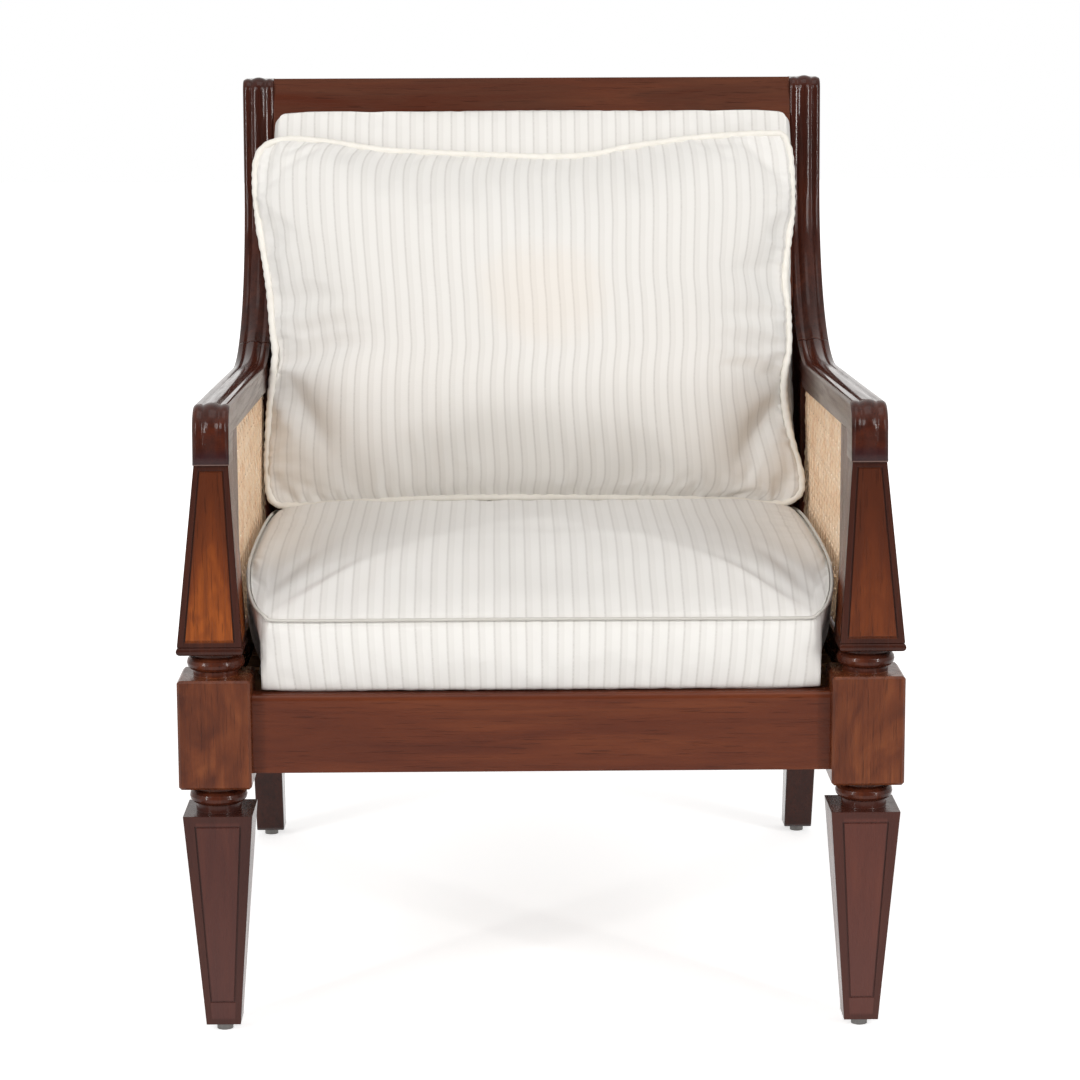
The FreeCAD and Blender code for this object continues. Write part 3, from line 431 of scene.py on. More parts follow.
def coons(low, high, left, right):
    """Grid of places inside four edge lines. Low and high run left to right, the others upward."""
    across, up = len(low), len(left)
    u = np.linspace(0, 1, across)[None, :, None]
    v = np.linspace(0, 1, up)[:, None, None]
    ruled_up = (1 - v) * low[None] + v * high[None]
    ruled_across = (1 - u) * left[:, None] + u * right[:, None]
    corners = ((1 - u) * (1 - v) * low[0] + u * (1 - v) * low[-1] + (1 - u) * v * high[0]
               + u * v * high[-1])
    return ruled_up + ruled_across - corners


def rim(across, up):
    """Grid places of the rim, anticlockwise from the lower left."""
    ring = [(0, i) for i in range(across)]
    ring += [(j, across - 1) for j in range(1, up)]
    ring += [(up - 1, i) for i in range(across - 2, -1, -1)]
    ring += [(j, 0) for j in range(up - 2, 0, -1)]
    return ring


def rim_places(grid):
    """What a grid holds on its rim."""
    return np.array([grid[j, i] for j, i in rim(grid.shape[1], grid.shape[0])])


def dome(across, up, sharpness, corner):
    """Crown of a stuffed panel: 0 at its rim, 1 in the middle."""
    u = np.abs(np.linspace(-1, 1, across))[None, :]
    v = np.abs(np.linspace(-1, 1, up))[:, None]
    return ((1 - u ** sharpness) * (1 - v ** sharpness)) ** corner


def hump(shape, wide, seed):
    """Smooth noise over a grid, about -1 to 1, with a width in grid steps."""
    out = np.zeros(shape)
    for j in range(shape[0]):
        for i in range(shape[1]):
            out[j, i] = noise.noise(Vector((i / wide, j / wide, seed)))
    return out


class Shell:
    """Panels of a cushion that share the vertices of their seams."""

    def __init__(self):
        self.vertices = []
        self.cloth = []
        self.faces = []

    def add_points(self, points, cloth):
        start = len(self.vertices)
        self.vertices += [tuple(p) for p in points]
        self.cloth += [tuple(c) for c in cloth]
        return list(range(start, start + len(points)))

    def panel(self, grid, cloth, ring=None, flip=False):
        """Adds a grid. Its rim can be vertices that are there already."""
        up, across = grid.shape[:2]
        index = np.full((up, across), -1, dtype=int)
        if ring is not None:
            for place, (j, i) in enumerate(rim(across, up)):
                index[j, i] = ring[place]
        new = [(j, i) for j in range(up) for i in range(across) if index[j, i] < 0]
        numbers = self.add_points([grid[j, i] for j, i in new], [cloth[j, i] for j, i in new])
        for (j, i), number in zip(new, numbers):
            index[j, i] = number
        for j in range(up - 1):
            for i in range(across - 1):
                face = [index[j, i], index[j, i + 1], index[j + 1, i + 1], index[j + 1, i]]
                self.faces.append([int(n) for n in (reversed(face) if flip else face)])
        return [int(index[j, i]) for j, i in rim(across, up)]

    def hoop(self, points, cloth, previous):
        """Adds a closed row of vertices and joins it to the row before."""
        numbers = self.add_points(points, cloth)
        for i, number in enumerate(numbers):
            after = (i + 1) % len(numbers)
            self.faces.append([previous[i], number, numbers[after], previous[after]])
        return numbers


def vertex_values(mesh, name="co"):
    """Places or normals of a mesh, one row for each vertex."""
    values = np.zeros(len(mesh.vertices) * 3)
    mesh.vertices.foreach_get(name, values)
    return values.reshape(-1, 3)


def put_points(piece, places):
    piece.data.vertices.foreach_set("co", np.asarray(places).ravel())
    piece.data.update()


stuffing = {"quality": 6, "mass": 0.25, "tension_stiffness": 22.0, "compression_stiffness": 22.0,
            "shear_stiffness": 6.0, "bending_stiffness": 0.35, "use_pressure": True,
            "vertex_group_mass": "seam"}
stuffing_frames = 18


def inflate(piece, seam, pressure, slack, cap):
    """Cloth simulation with its seams held. The piece keeps the shape, within a cap on each move."""
    group = piece.vertex_groups.new(name="seam")
    group.add(sorted(seam), 1.0, "REPLACE")
    cloth = piece.modifiers.new("stuffing", "CLOTH")
    for name, value in stuffing.items():
        setattr(cloth.settings, name, value)
    cloth.settings.uniform_pressure_force = pressure
    cloth.settings.shrink_min = -slack
    cloth.settings.shrink_max = -slack
    cloth.settings.effector_weights.gravity = 0.0
    cloth.collision_settings.use_self_collision = False
    cloth.point_cache.frame_start = 1
    cloth.point_cache.frame_end = stuffing_frames
    start = vertex_values(piece.data)
    scene = bpy.context.scene
    for number in range(1, stuffing_frames + 1):
        scene.frame_set(number)
    shaped = piece.evaluated_get(bpy.context.evaluated_depsgraph_get())
    move = np.nan_to_num(vertex_values(shaped.to_mesh()) - start)
    shaped.to_mesh_clear()
    piece.modifiers.remove(cloth)
    scene.frame_set(1)
    size = np.linalg.norm(move, axis=1)
    scale = np.where(size > 1e-9, cap * np.tanh(size / cap) / np.maximum(size, 1e-9), 0.0)
    put_points(piece, start + move * scale[:, None])


def refine(piece):
    """One level of subdivision, applied."""
    modifier = piece.modifiers.new("fine", "SUBSURF")
    modifier.levels = 1
    modifier.render_levels = 1
    modifier.uv_smooth = "NONE"
    graph = bpy.context.evaluated_depsgraph_get()
    mesh = bpy.data.meshes.new_from_object(piece.evaluated_get(graph), depsgraph=graph)
    piece.modifiers.remove(modifier)
    old = piece.data
    piece.data = mesh
    bpy.data.meshes.remove(old)


def lift_beside(piece, loop, reach, lift):
    """Moves the cloth near a seam along its normals. The lift follows from the gap and the seam's place."""
    places, normals = vertex_values(piece.data), vertex_values(piece.data, "normal")
    for i, place in enumerate(places):
        away = np.linalg.norm(loop - place, axis=1)
        near = int(away.argmin())
        gap = away[near] / (reach * MM)
        if gap <= 3:
            places[i] += normals[i] * lift(gap, near) * MM
    put_points(piece, places)


def sink_seam(piece, loop, depth, reach):
    """Draws the cloth in beside a seam."""
    lift_beside(piece, loop, reach, lambda gap, near: -depth * math.exp(-gap * gap))


def pucker(piece, loop, height, pitch, reach):
    """Small gathers that run in from a seam."""
    lengths = lengths_along(loop)

    def gather(gap, near):
        phase = lengths[near] / (pitch * MM)
        jitter = noise.noise(Vector((phase * 0.5, 9.1, 0.0)))
        ridge = math.sin(2 * math.pi * phase + 5.0 * jitter)
        return height * ridge * math.exp(-gap * (1.1 + 0.8 * jitter)) * min(1.0, gap * 2.2)

    lift_beside(piece, loop, reach, gather)


welt_step = 0.0028
welt_sides = 10


def welt(name, loop, radius, material, gather, pitch):
    """Closed cord of piping round a loop of places, gathered by small puckers."""
    closed = np.vstack([loop, loop[:1]])
    marks = lengths_along(closed)
    count = int(marks[-1] / welt_step)
    wanted = np.linspace(0, marks[-1], count, endpoint=False)
    line = places_at(closed, marks, wanted)
    for _ in range(3):
        line = (np.roll(line, 1, axis=0) + 2 * line + np.roll(line, -1, axis=0)) / 4
    ahead = unit(np.roll(line, -1, axis=0) - np.roll(line, 1, axis=0))
    outward = line - line.mean(axis=0)
    outward = unit(outward - (outward * ahead).sum(axis=1)[:, None] * ahead)
    other = np.cross(ahead, outward)
    vertices, faces = [], []
    for i in range(count):
        phase = wanted[i] / (pitch * MM)
        jitter = noise.noise(Vector((phase * 0.37, 4.2, 0.0)))
        swell = 1 + gather * (abs(math.sin(math.pi * phase + 2.4 * jitter)) - 0.5 + 0.7 * jitter)
        here, there = i * welt_sides, (i + 1) % count * welt_sides
        for k in range(welt_sides):
            turn = 2 * math.pi * k / welt_sides
            after = (k + 1) % welt_sides
            reach = radius * MM * swell
            vertices.append(line[i] + reach * (math.cos(turn) * outward[i] + math.sin(turn) * other[i]))
            faces.append([here + k, there + k, there + after, here + after])
    return add_mesh(name, vertices, faces, material)


# Seat cushion, as places of its top and bottom seams: across, depth, height
seat_top_front = [(-283, 50, 436), (-276, 33, 423), (-263, 24, 415), (-240, 21.5, 412), (0, 20, 412.5),
                  (240, 21.5, 411.5), (263, 24, 413.5), (276, 33, 421), (283, 50, 435)]
seat_top_side = [(283, 50, 435.5), (286, 82, 443), (290, 150, 446), (291, 260, 448), (290, 400, 447),
                 (288, 490, 441), (282, 512, 437)]
seat_foot_front = [(-258, 46, 343), (-258, 34, 342.5), (-254, 27, 342), (0, 24, 342), (254, 27, 342),
                   (258, 34, 342.5), (258, 46, 343)]
seat_foot_side = [(258, 46, 343), (260, 80, 343), (278, 140, 343), (288, 300, 343), (286, 470, 343),
                  (280, 508, 343)]
seat_crown = 26.0
seat_rest_height = 459.0
seat_rest_drop = 9.0
seat_half_width = 290.0
seat_middle_depth = 280.0
seat_fold_corner = (268.0, 60.0)
seat_long_fold = {"depth": 5.0, "slant": 0.85, "start": 26.0, "width": 9.0, "middle": 45.0, "reach": 42.0}
seat_short_fold = {"depth": 4.0, "slant": 0.35, "start": 6.0, "width": 7.0, "middle": 60.0, "reach": 48.0}
seat_unevenness = 1.6
seat_covered_from = 380.0
seat_covered_fade = 60.0
seat_end_reach = 215.0
seat_boxing_corner = (275.0, 40.0)
seat_corner_flat = 12.0
seat_corner_fade = 50.0
boxing_swell = 5.0
other_side = np.array([-1, 1, 1])


def world_grid(grid):
    """Grid of millimetres across, depth and height as places in metres."""
    out = np.array(grid, dtype=float) * MM
    out[..., 1] += front_y
    return out


def slope_grid(grid):
    """Grid of millimetres across, out and along the slope as places in metres."""
    x, out, along = grid[..., 0], grid[..., 1], grid[..., 2]
    depth = back_plane_depth + along * math.sin(back_lean) + out * math.cos(back_lean)
    height = back_plane_height + along * math.cos(back_lean) - out * math.sin(back_lean)
    return world_grid(np.stack([x, depth, height], axis=-1))


def seat_folds(face):
    """Depth of the folds that run in from the front corners."""
    depth = 0
    for side in (-1, 1):
        inward = (face[..., 0] - side * seat_fold_corner[0]) * -side
        rearward = face[..., 1] - seat_fold_corner[1]
        for fold, place in ((seat_long_fold, inward), (seat_short_fold, rearward)):
            beside = (inward - fold["slant"] * rearward - fold["start"]) / fold["width"]
            from_middle = (place - fold["middle"]) / fold["reach"]
            depth = depth + fold["depth"] * np.exp(-beside ** 2 - from_middle ** 2)
    return depth


def seat_cushion():
    """Loose seat cushion with a piped top seam, on the slatted deck."""
    across, up, rows = 97, 85, 13
    right = through(seat_top_side, up)
    front = through(seat_top_front, across)
    rear = np.linspace(right[-1] * other_side, right[-1], across)
    fade = np.linspace(1, 0, up)[:, None]
    left = right * other_side + fade * (front[0] - right[0] * other_side)
    face = coons(front, rear, left, right + fade * (front[-1] - right[0]))
    foot_right = through(seat_foot_side, up)
    foot_rear = np.linspace(foot_right[-1] * other_side, foot_right[-1], across)
    foot = coons(through(seat_foot_front, across), foot_rear, foot_right * other_side, foot_right)

    crown = dome(across, up, 3.4, 0.75)
    face[..., 2] += seat_crown * crown
    under_back = np.clip((face[..., 1] - seat_covered_from) / seat_covered_fade, 0, 1)
    top = seat_rest_height - seat_rest_drop * np.abs(face[..., 0] / seat_half_width) ** 2.2
    face[..., 2] = np.minimum(face[..., 2], top)
    uneven = seat_unevenness * hump(face.shape[:2], 9.0, 1.7) * np.minimum(crown * 3, 1)
    face[..., 2] += (1 - under_back) * uneven
    face[..., 2] -= seat_folds(face) * np.minimum(crown * 6, 1)
    shell = Shell()
    top_ring = shell.panel(world_grid(face), face[..., :2] * MM)
    top_loop, foot_loop = rim_places(face), rim_places(foot)
    outward = top_loop[:, :2] - np.array([0, seat_middle_depth])
    at_end = np.abs(top_loop[:, 1:2] - seat_middle_depth) > seat_end_reach
    outward = unit(np.where(at_end, outward * [0.05, 1], outward * [1, 0.05]))
    corner_x, corner_depth = seat_boxing_corner
    corner_away = np.hypot(np.abs(top_loop[:, 0]) - corner_x, top_loop[:, 1] - corner_depth)
    swell = boxing_swell * np.clip((corner_away - seat_corner_flat) / seat_corner_fade, -0.8, 1)[:, None]
    run = lengths_along(top_loop)
    run = run - run[across // 2]
    for row in range(rows):
        share = row / (rows - 1)
        place = foot_loop * share + top_loop * (1 - share)
        place[:, :2] += outward * swell * math.sin(math.pi * share) ** 0.8
        cloth = np.stack([run * MM, place[:, 2] * MM], axis=1)
        if row == 0:
            first_ring = previous = shell.add_points(world_grid(place), cloth)
        else:
            previous = shell.hoop(world_grid(place), cloth, previous)
    shell.panel(world_grid(foot), foot[..., :2] * MM, previous, flip=True)
    piece = add_mesh("seat_cushion_cover", shell.vertices, shell.faces, fabric, shell.cloth)
    inflate(piece, set(top_ring) | set(first_ring) | set(previous), 2.5, 0.012, 0.006)
    refine(piece)
    loop = world_grid(top_loop)
    sink_seam(piece, loop, 3.2, 6.0)
    # The seat's top welt uses the darkened piping: painted shade for the shadow under the welt.
    piping = welt("seat_cushion_top_welt", loop, 1.6, shaded_seam_fabric, 0.10, 14.0)
    return [piece, piping]


# Pillow's seam, as places across and along the slope of the back, anticlockwise from the lower left
pillow_low_edge = [(-281, -25), (-249, -24.5), (-210, -22), (-155, -19.5), (-101, -17.5), (-14, -17),
                   (91, -18), (174, -20), (214, -21.5), (245, -24.5), (272, -26)]
pillow_right_edge = [(272, -26), (290, -16), (292, 4), (286, 30), (279, 62), (275, 92), (276, 118),
                     (281, 150), (281, 190), (278, 222), (281, 256), (287, 300), (288, 340), (286, 372),
                     (279, 392)]
pillow_top_edge = [(-289, 385), (-266, 388), (-227, 384), (-169, 375), (-127, 372), (-45, 368), (27, 366),
                   (69, 369), (97, 375), (129, 380), (180, 387), (240, 391), (279, 392)]
pillow_left_edge = [(-281, -25), (-291, -16), (-294, 12), (-293, 60), (-290, 110), (-286, 145), (-289, 170),
                    (-292, 210), (-296, 240), (-303, 280), (-308, 320), (-309, 358), (-302, 377),
                    (-289, 385)]
pillow_seam_heights = (-26, 390)
pillow_seam_out = (-101.0, -88.0)
pillow_front_crown = 56.0
pillow_rear_crown = 10.0
pillow_unevenness = 1.6
pillow_side_dent = 20.0
pillow_dents = ((-1, -252, 88), (1, 244, 66))
pillow_dent_size = (55.0, 21.0)
pillow_rear_limit = -84.6
pillow_cloth = (0.60, 0.44)
pillow_seam_width = 0.585
pillow_stripe_bend = 0.35


def pillow():
    """Knife-edge throw pillow with shirred piping."""
    across, up = 113, 85

    def edge(points, count):
        flat = through(points, count)
        out = np.interp(flat[:, 1], pillow_seam_heights, pillow_seam_out)
        return np.stack([flat[:, 0], out, flat[:, 1]], axis=1)

    seam = coons(edge(pillow_low_edge, across), edge(pillow_top_edge, across), edge(pillow_left_edge, up),
                 edge(pillow_right_edge, up))
    crown = dome(across, up, 2.3, 0.62)
    front = seam.copy()
    front[..., 1] -= pillow_front_crown * crown
    front[..., 1] += pillow_unevenness * hump(front.shape[:2], 11.0, 5.1) * np.minimum(crown * 2, 1)
    dent_length, dent_width = pillow_dent_size
    for side, across_at, up_at in pillow_dents:
        inward, below = side * (across_at - front[..., 0]), up_at - front[..., 2]
        along, beside = 0.5 * inward + 0.87 * below, 0.87 * inward - 0.5 * below
        dent = np.exp(-(along / dent_length) ** 2 - (beside / dent_width) ** 2)
        front[..., 1] += pillow_side_dent * dent
    rear = seam.copy()
    rear_crown = pillow_rear_crown * dome(across, up, 3.0, 0.6)
    rear[..., 1] += np.minimum(rear_crown, pillow_rear_limit - seam[..., 1])
    u = np.linspace(-0.5, 0.5, across)[None, :] * np.ones((up, 1))
    v = np.linspace(0, 1, up)[:, None] * np.ones((1, across))
    width, height = pillow_cloth
    bend = pillow_stripe_bend * (seam[..., 0] * MM - pillow_seam_width * u)
    cloth = np.stack([width * u + bend, height * v], axis=-1)
    shell = Shell()
    ring = shell.panel(slope_grid(front), cloth)
    shell.panel(slope_grid(rear), cloth, ring, flip=True)
    piece = add_mesh("pillow_cover", shell.vertices, shell.faces, stained_fabric, shell.cloth)
    inflate(piece, ring, 3.5, 0.03, 0.012)
    refine(piece)
    loop = slope_grid(rim_places(seam))
    pucker(piece, loop, 1.3, 17.0, 16.0)
    keep_off_cushion(piece)
    piping = welt("pillow_piping", loop, 3.8, welt_fabric, 0.24, 12.0)
    keep_off_cushion(piping)
    return [piece, piping]


def keep_off_cushion(piece):
    """Presses whatever reaches the back cushion flat against it."""
    places = vertex_values(piece.data)
    depth = (places[:, 1] - front_y) / MM - back_plane_depth
    height = places[:, 2] / MM - back_plane_height
    out = depth * math.cos(back_lean) - height * math.sin(back_lean)
    over = np.maximum(out - pillow_rear_limit, 0) * MM
    places[:, 1] -= over * math.cos(back_lean)
    places[:, 2] += over * math.sin(back_lean)
    put_points(piece, places)


# Back cushion, as places across and along the slope: half its seam, then its thickness
back_half_width = 286.0
back_corner = 20.0
back_cushion_top = 421.0
back_front_out = -66.0
back_rear_out = -3.0
back_front_crown = 13.0
back_front_foot = -5.0
back_rear_foot = 13.0
back_middle_up = 210.0
back_unevenness = 1.2


def back_cushion():
    """Boxed back cushion behind the pillow."""
    across, up, rows = 97, 77, 11

    def loop_sides(out, foot, half):
        top = back_cushion_top
        cut = back_corner
        low = [(-half, out, foot), (0, out, foot), (half, out, foot)]
        side = [(half, out, foot), (half - 2, out, (foot + top) / 2), (half, out, top - cut),
                (half - cut * 0.3, out, top - cut * 0.3)]
        high = [(-(half - cut * 0.3), out, top - cut * 0.3), (-(half - cut), out, top),
                (-half / 2, out, top + 2), (0, out, top + 2.5), (half / 2, out, top + 2),
                (half - cut, out, top), (half - cut * 0.3, out, top - cut * 0.3)]
        left = [(-x, o, s) for x, o, s in side]
        return (through(low, across), through(high, across), through(left, up), through(side, up))

    front = coons(*loop_sides(back_front_out, back_front_foot, back_half_width))
    rear = coons(*loop_sides(back_rear_out, back_rear_foot, back_half_width - 1.0))
    crown = dome(across, up, 3.0, 0.7)
    front[..., 1] -= back_front_crown * crown
    front[..., 1] += back_unevenness * hump(front.shape[:2], 10.0, 3.3) * np.minimum(crown * 2, 1)
    shell = Shell()
    front_ring = shell.panel(slope_grid(front), front[..., ::2] * MM)
    front_loop, rear_loop = rim_places(front), rim_places(rear)
    outward = front_loop - np.array([0, 0, back_middle_up])
    outward[:, 1] = 0
    level = np.abs(front_loop[:, :1]) < back_half_width - back_corner * 1.01
    outward = unit(np.where(level, outward * [0, 0, 1], outward * [1, 0, 0.08]))
    swells = np.where(front_loop[:, 2:] < 0, 0.0, 1.0)
    previous = front_ring
    for row in range(1, rows):
        share = row / (rows - 1)
        place = rear_loop * share + front_loop * (1 - share)
        place += outward * boxing_swell * math.sin(math.pi * share) ** 0.8 * swells
        cloth = np.stack([place[:, 0], place[:, 2] - place[:, 1]], axis=1) * MM
        previous = shell.hoop(slope_grid(place), cloth, previous)
    shell.panel(slope_grid(rear), rear[..., ::2] * MM, previous, flip=True)
    piece = add_mesh("back_cushion_cover", shell.vertices, shell.faces, fabric, shell.cloth)
    inflate(piece, set(previous) | set(front_ring), 2.0, 0.01, 0.004)
    refine(piece)
    piping = welt("back_cushion_rear_welt", slope_grid(rear_loop), 2.2, welt_fabric, 0.08, 14.0)
    return [piece, piping]


# Arms and back posts, carved in the round. Spots are depth and height in a side view, angles are degrees
# from straight down towards the rear, as in the part's source.
arm_x = 313.0
arm_half_width = 17.5
arm_front = 4.0
arm_joint_height = 565.5
scroll_radius = 28.0
scroll_centre = np.array([32.0, 594.5])
scroll_rear = 50.0
scroll_band_top = 573.0
throat_radius = 13.0
bow_centre = np.array([470.0, 807.0])
bow_radius = 200.0
arm_depth = 31.5
shoulder_radius = bow_radius + arm_depth
stile_depth = 45.0
stile_lean = 3.9
bow_end_angle = 90.0 - stile_lean
arm_joint_angle = 24.0
stile_top = 912.5
top_roll_radius = 15.0
top_rear_round = 4.0
leg_front_depth = 515.0
leg_front_bend_radius = 400.0
leg_knee_height = 300.0
leg_knee_share = 0.243
leg_back_depth = 582.0
leg_back_bend_radius = 250.0
stile_leave_angle = 47.0
foot_front = np.array([741.0, 8.4])
foot_rear = np.array([778.0, 8.4])
foot_half_width = 16.5
foot_splay = 7.0
reed_depth = 2.6
side_reed_drop = 1.6
centre_reed_half = 8.4
side_reed_middle = 12.25
side_reed_half = 3.85
carved_stations = 53

centre_away = bow_centre - scroll_centre
arm_slope = math.degrees(math.asin((bow_radius + scroll_radius) / np.linalg.norm(centre_away))
                         - math.atan2(centre_away[1], centre_away[0]))
shoulder_angle = math.degrees(math.asin((leg_front_depth - bow_centre[0]) / shoulder_radius))
knee_depth = leg_front_depth + leg_knee_share * (foot_front[0] - leg_front_depth)
leg_rake = math.atan2(foot_front[0] - knee_depth, leg_knee_height - foot_front[1])
front_bend_height = (leg_knee_height + (knee_depth - leg_front_depth) / math.tan(leg_rake)
                     + leg_front_bend_radius * math.tan(leg_rake / 2))


def polar(centre, radius, angle):
    turn = math.radians(angle)
    return np.array([centre[0] + radius * math.sin(turn), centre[1] - radius * math.cos(turn)])


def bend(centre, radius, start, end, reeds=(0.0, 0.0), edge=(2.0, 2.0)):
    """Stretch of a side-view line round a centre. Reeds go from 0 to 1, edge is the rounding beside it."""
    count = max(3, int(abs(math.radians(end - start)) * radius / 2.2) + 1)
    spots = [polar(centre, radius, angle) for angle in np.linspace(start, end, count)]
    return stretch(spots, reeds, edge)


def run(start, end, reeds=(0.0, 0.0), edge=(2.0, 2.0)):
    """Straight stretch of a side-view line."""
    count = max(2, int(np.linalg.norm(np.subtract(end, start)) / 5.0) + 1)
    return stretch(np.linspace(start, end, count), reeds, edge)


def stretch(spots, reeds, edge):
    share = np.linspace(0, 1, len(spots))[:, None]
    spots = np.array(spots)
    marks = [pair[0] + (pair[1] - pair[0]) * share for pair in (reeds, edge)]
    return np.hstack([spots] + marks)


def side_line(stretches):
    """One smooth line of spots, with its outward direction at each spot."""
    line = np.vstack([stretches[0]] + [piece[1:] for piece in stretches[1:]])
    ahead = unit(np.gradient(line[:, :2], axis=0))
    return np.hstack([line, -ahead[:, 1:2], ahead[:, :1]])


def carved(name, lines, across_at, material, waist=None):
    """Body between two sides, its outline rounded at its edges and reeded where its lines say so."""
    outline = np.vstack(lines)
    ends = np.cumsum([len(line) for line in lines]) - 1
    stations = np.sin(np.linspace(-math.pi / 2, math.pi / 2, carved_stations))
    vertices = []
    for share in stations:
        x = abs(share) * arm_half_width
        if x < centre_reed_half:
            reed = reed_depth * (x / centre_reed_half) ** 2
        else:
            rise = 1 - min(1.0, abs(x - side_reed_middle) / side_reed_half) ** 2
            reed = reed_depth - (reed_depth - side_reed_drop) * rise
        edge = np.maximum(outline[:, 3], 1e-6)
        over = np.clip(x - (arm_half_width - edge), 0, edge)
        inset = outline[:, 2] * reed + edge - np.sqrt(edge ** 2 - over ** 2)
        spots = outline[:, :2] - outline[:, 4:6] * inset[:, None]
        vertices += [spot(across_at(share, height), depth, height) for depth, height in spots]
    count = len(outline)
    faces, flat = [], []
    last = (len(stations) - 1) * count
    for here in range(0, last, count):
        for k in range(count):
            after, there = (k + 1) % count, here + count
            faces.append([here + k, here + after, there + after, there + k])
            flat.append(k in ends)
    caps = [list(range(count))]
    if waist is not None:
        low, high = waist
        caps = [list(range(low, high + 1)), list(range(high, count)) + list(range(low + 1))]
    for first in (0, last):
        for cap in caps:
            faces.append([first + k for k in cap])
            flat.append(True)
    body = add_mesh(name, vertices, faces, material)
    body.data.polygons.foreach_set("use_smooth", [not f for f in flat])
    shape = bmesh.new()
    shape.from_mesh(body.data)
    bmesh.ops.remove_doubles(shape, verts=shape.verts, dist=2e-6)
    bmesh.ops.recalc_face_normals(shape, faces=shape.faces)
    shape.to_mesh(body.data)
    shape.free()
    return body


def carved_arm(side, name):
    """Reeded arm with its scroll, whose reeds die out above the joint to the support."""
    direction = polar((0, 0), 1.0, 90.0 - arm_slope)
    normal = polar((0, 0), 1.0, 180.0 - arm_slope)
    bow_start = polar(bow_centre, bow_radius, -arm_slope)
    under_start = polar(bow_centre, shoulder_radius, -arm_slope)
    throat_depth = scroll_rear + throat_radius * (1 + normal[0])
    throat_top = under_start + direction * (throat_depth - under_start[0]) / direction[0]
    throat_centre = throat_top - normal * throat_radius
    top = side_line([
        run((arm_front, arm_joint_height), (arm_front, scroll_band_top), edge=(3.0, 4.5)),
        run((arm_front, scroll_band_top), (arm_front, scroll_centre[1]), (0.0, 0.9), (4.5, 4.5)),
        bend(scroll_centre, scroll_radius, -90.0, -180.0 - arm_slope, (0.9, 0.9), (4.5, 2.5)),
        run(polar(scroll_centre, scroll_radius, 180.0 - arm_slope), bow_start, (0.9, 1.0), (2.5, 2.0)),
        bend(bow_centre, bow_radius, -arm_slope, arm_joint_angle, (1.0, 1.0), (2.0, 2.0))])
    under = side_line([
        bend(bow_centre, shoulder_radius, arm_joint_angle, shoulder_angle, edge=(0.0, 0.0)),
        bend(bow_centre, shoulder_radius, shoulder_angle, shoulder_angle - 3, edge=(0.0, 2.0)),
        bend(bow_centre, shoulder_radius, shoulder_angle - 3, -arm_slope),
        run(under_start, throat_top),
        bend(throat_centre, throat_radius, 180.0 - arm_slope, 270.0),
        run((scroll_rear, throat_centre[1]), (scroll_rear, arm_joint_height))])

    def across(share, height):
        return side * (arm_x + share * arm_half_width)

    return carved(name, [top, under], across, arm_wood)


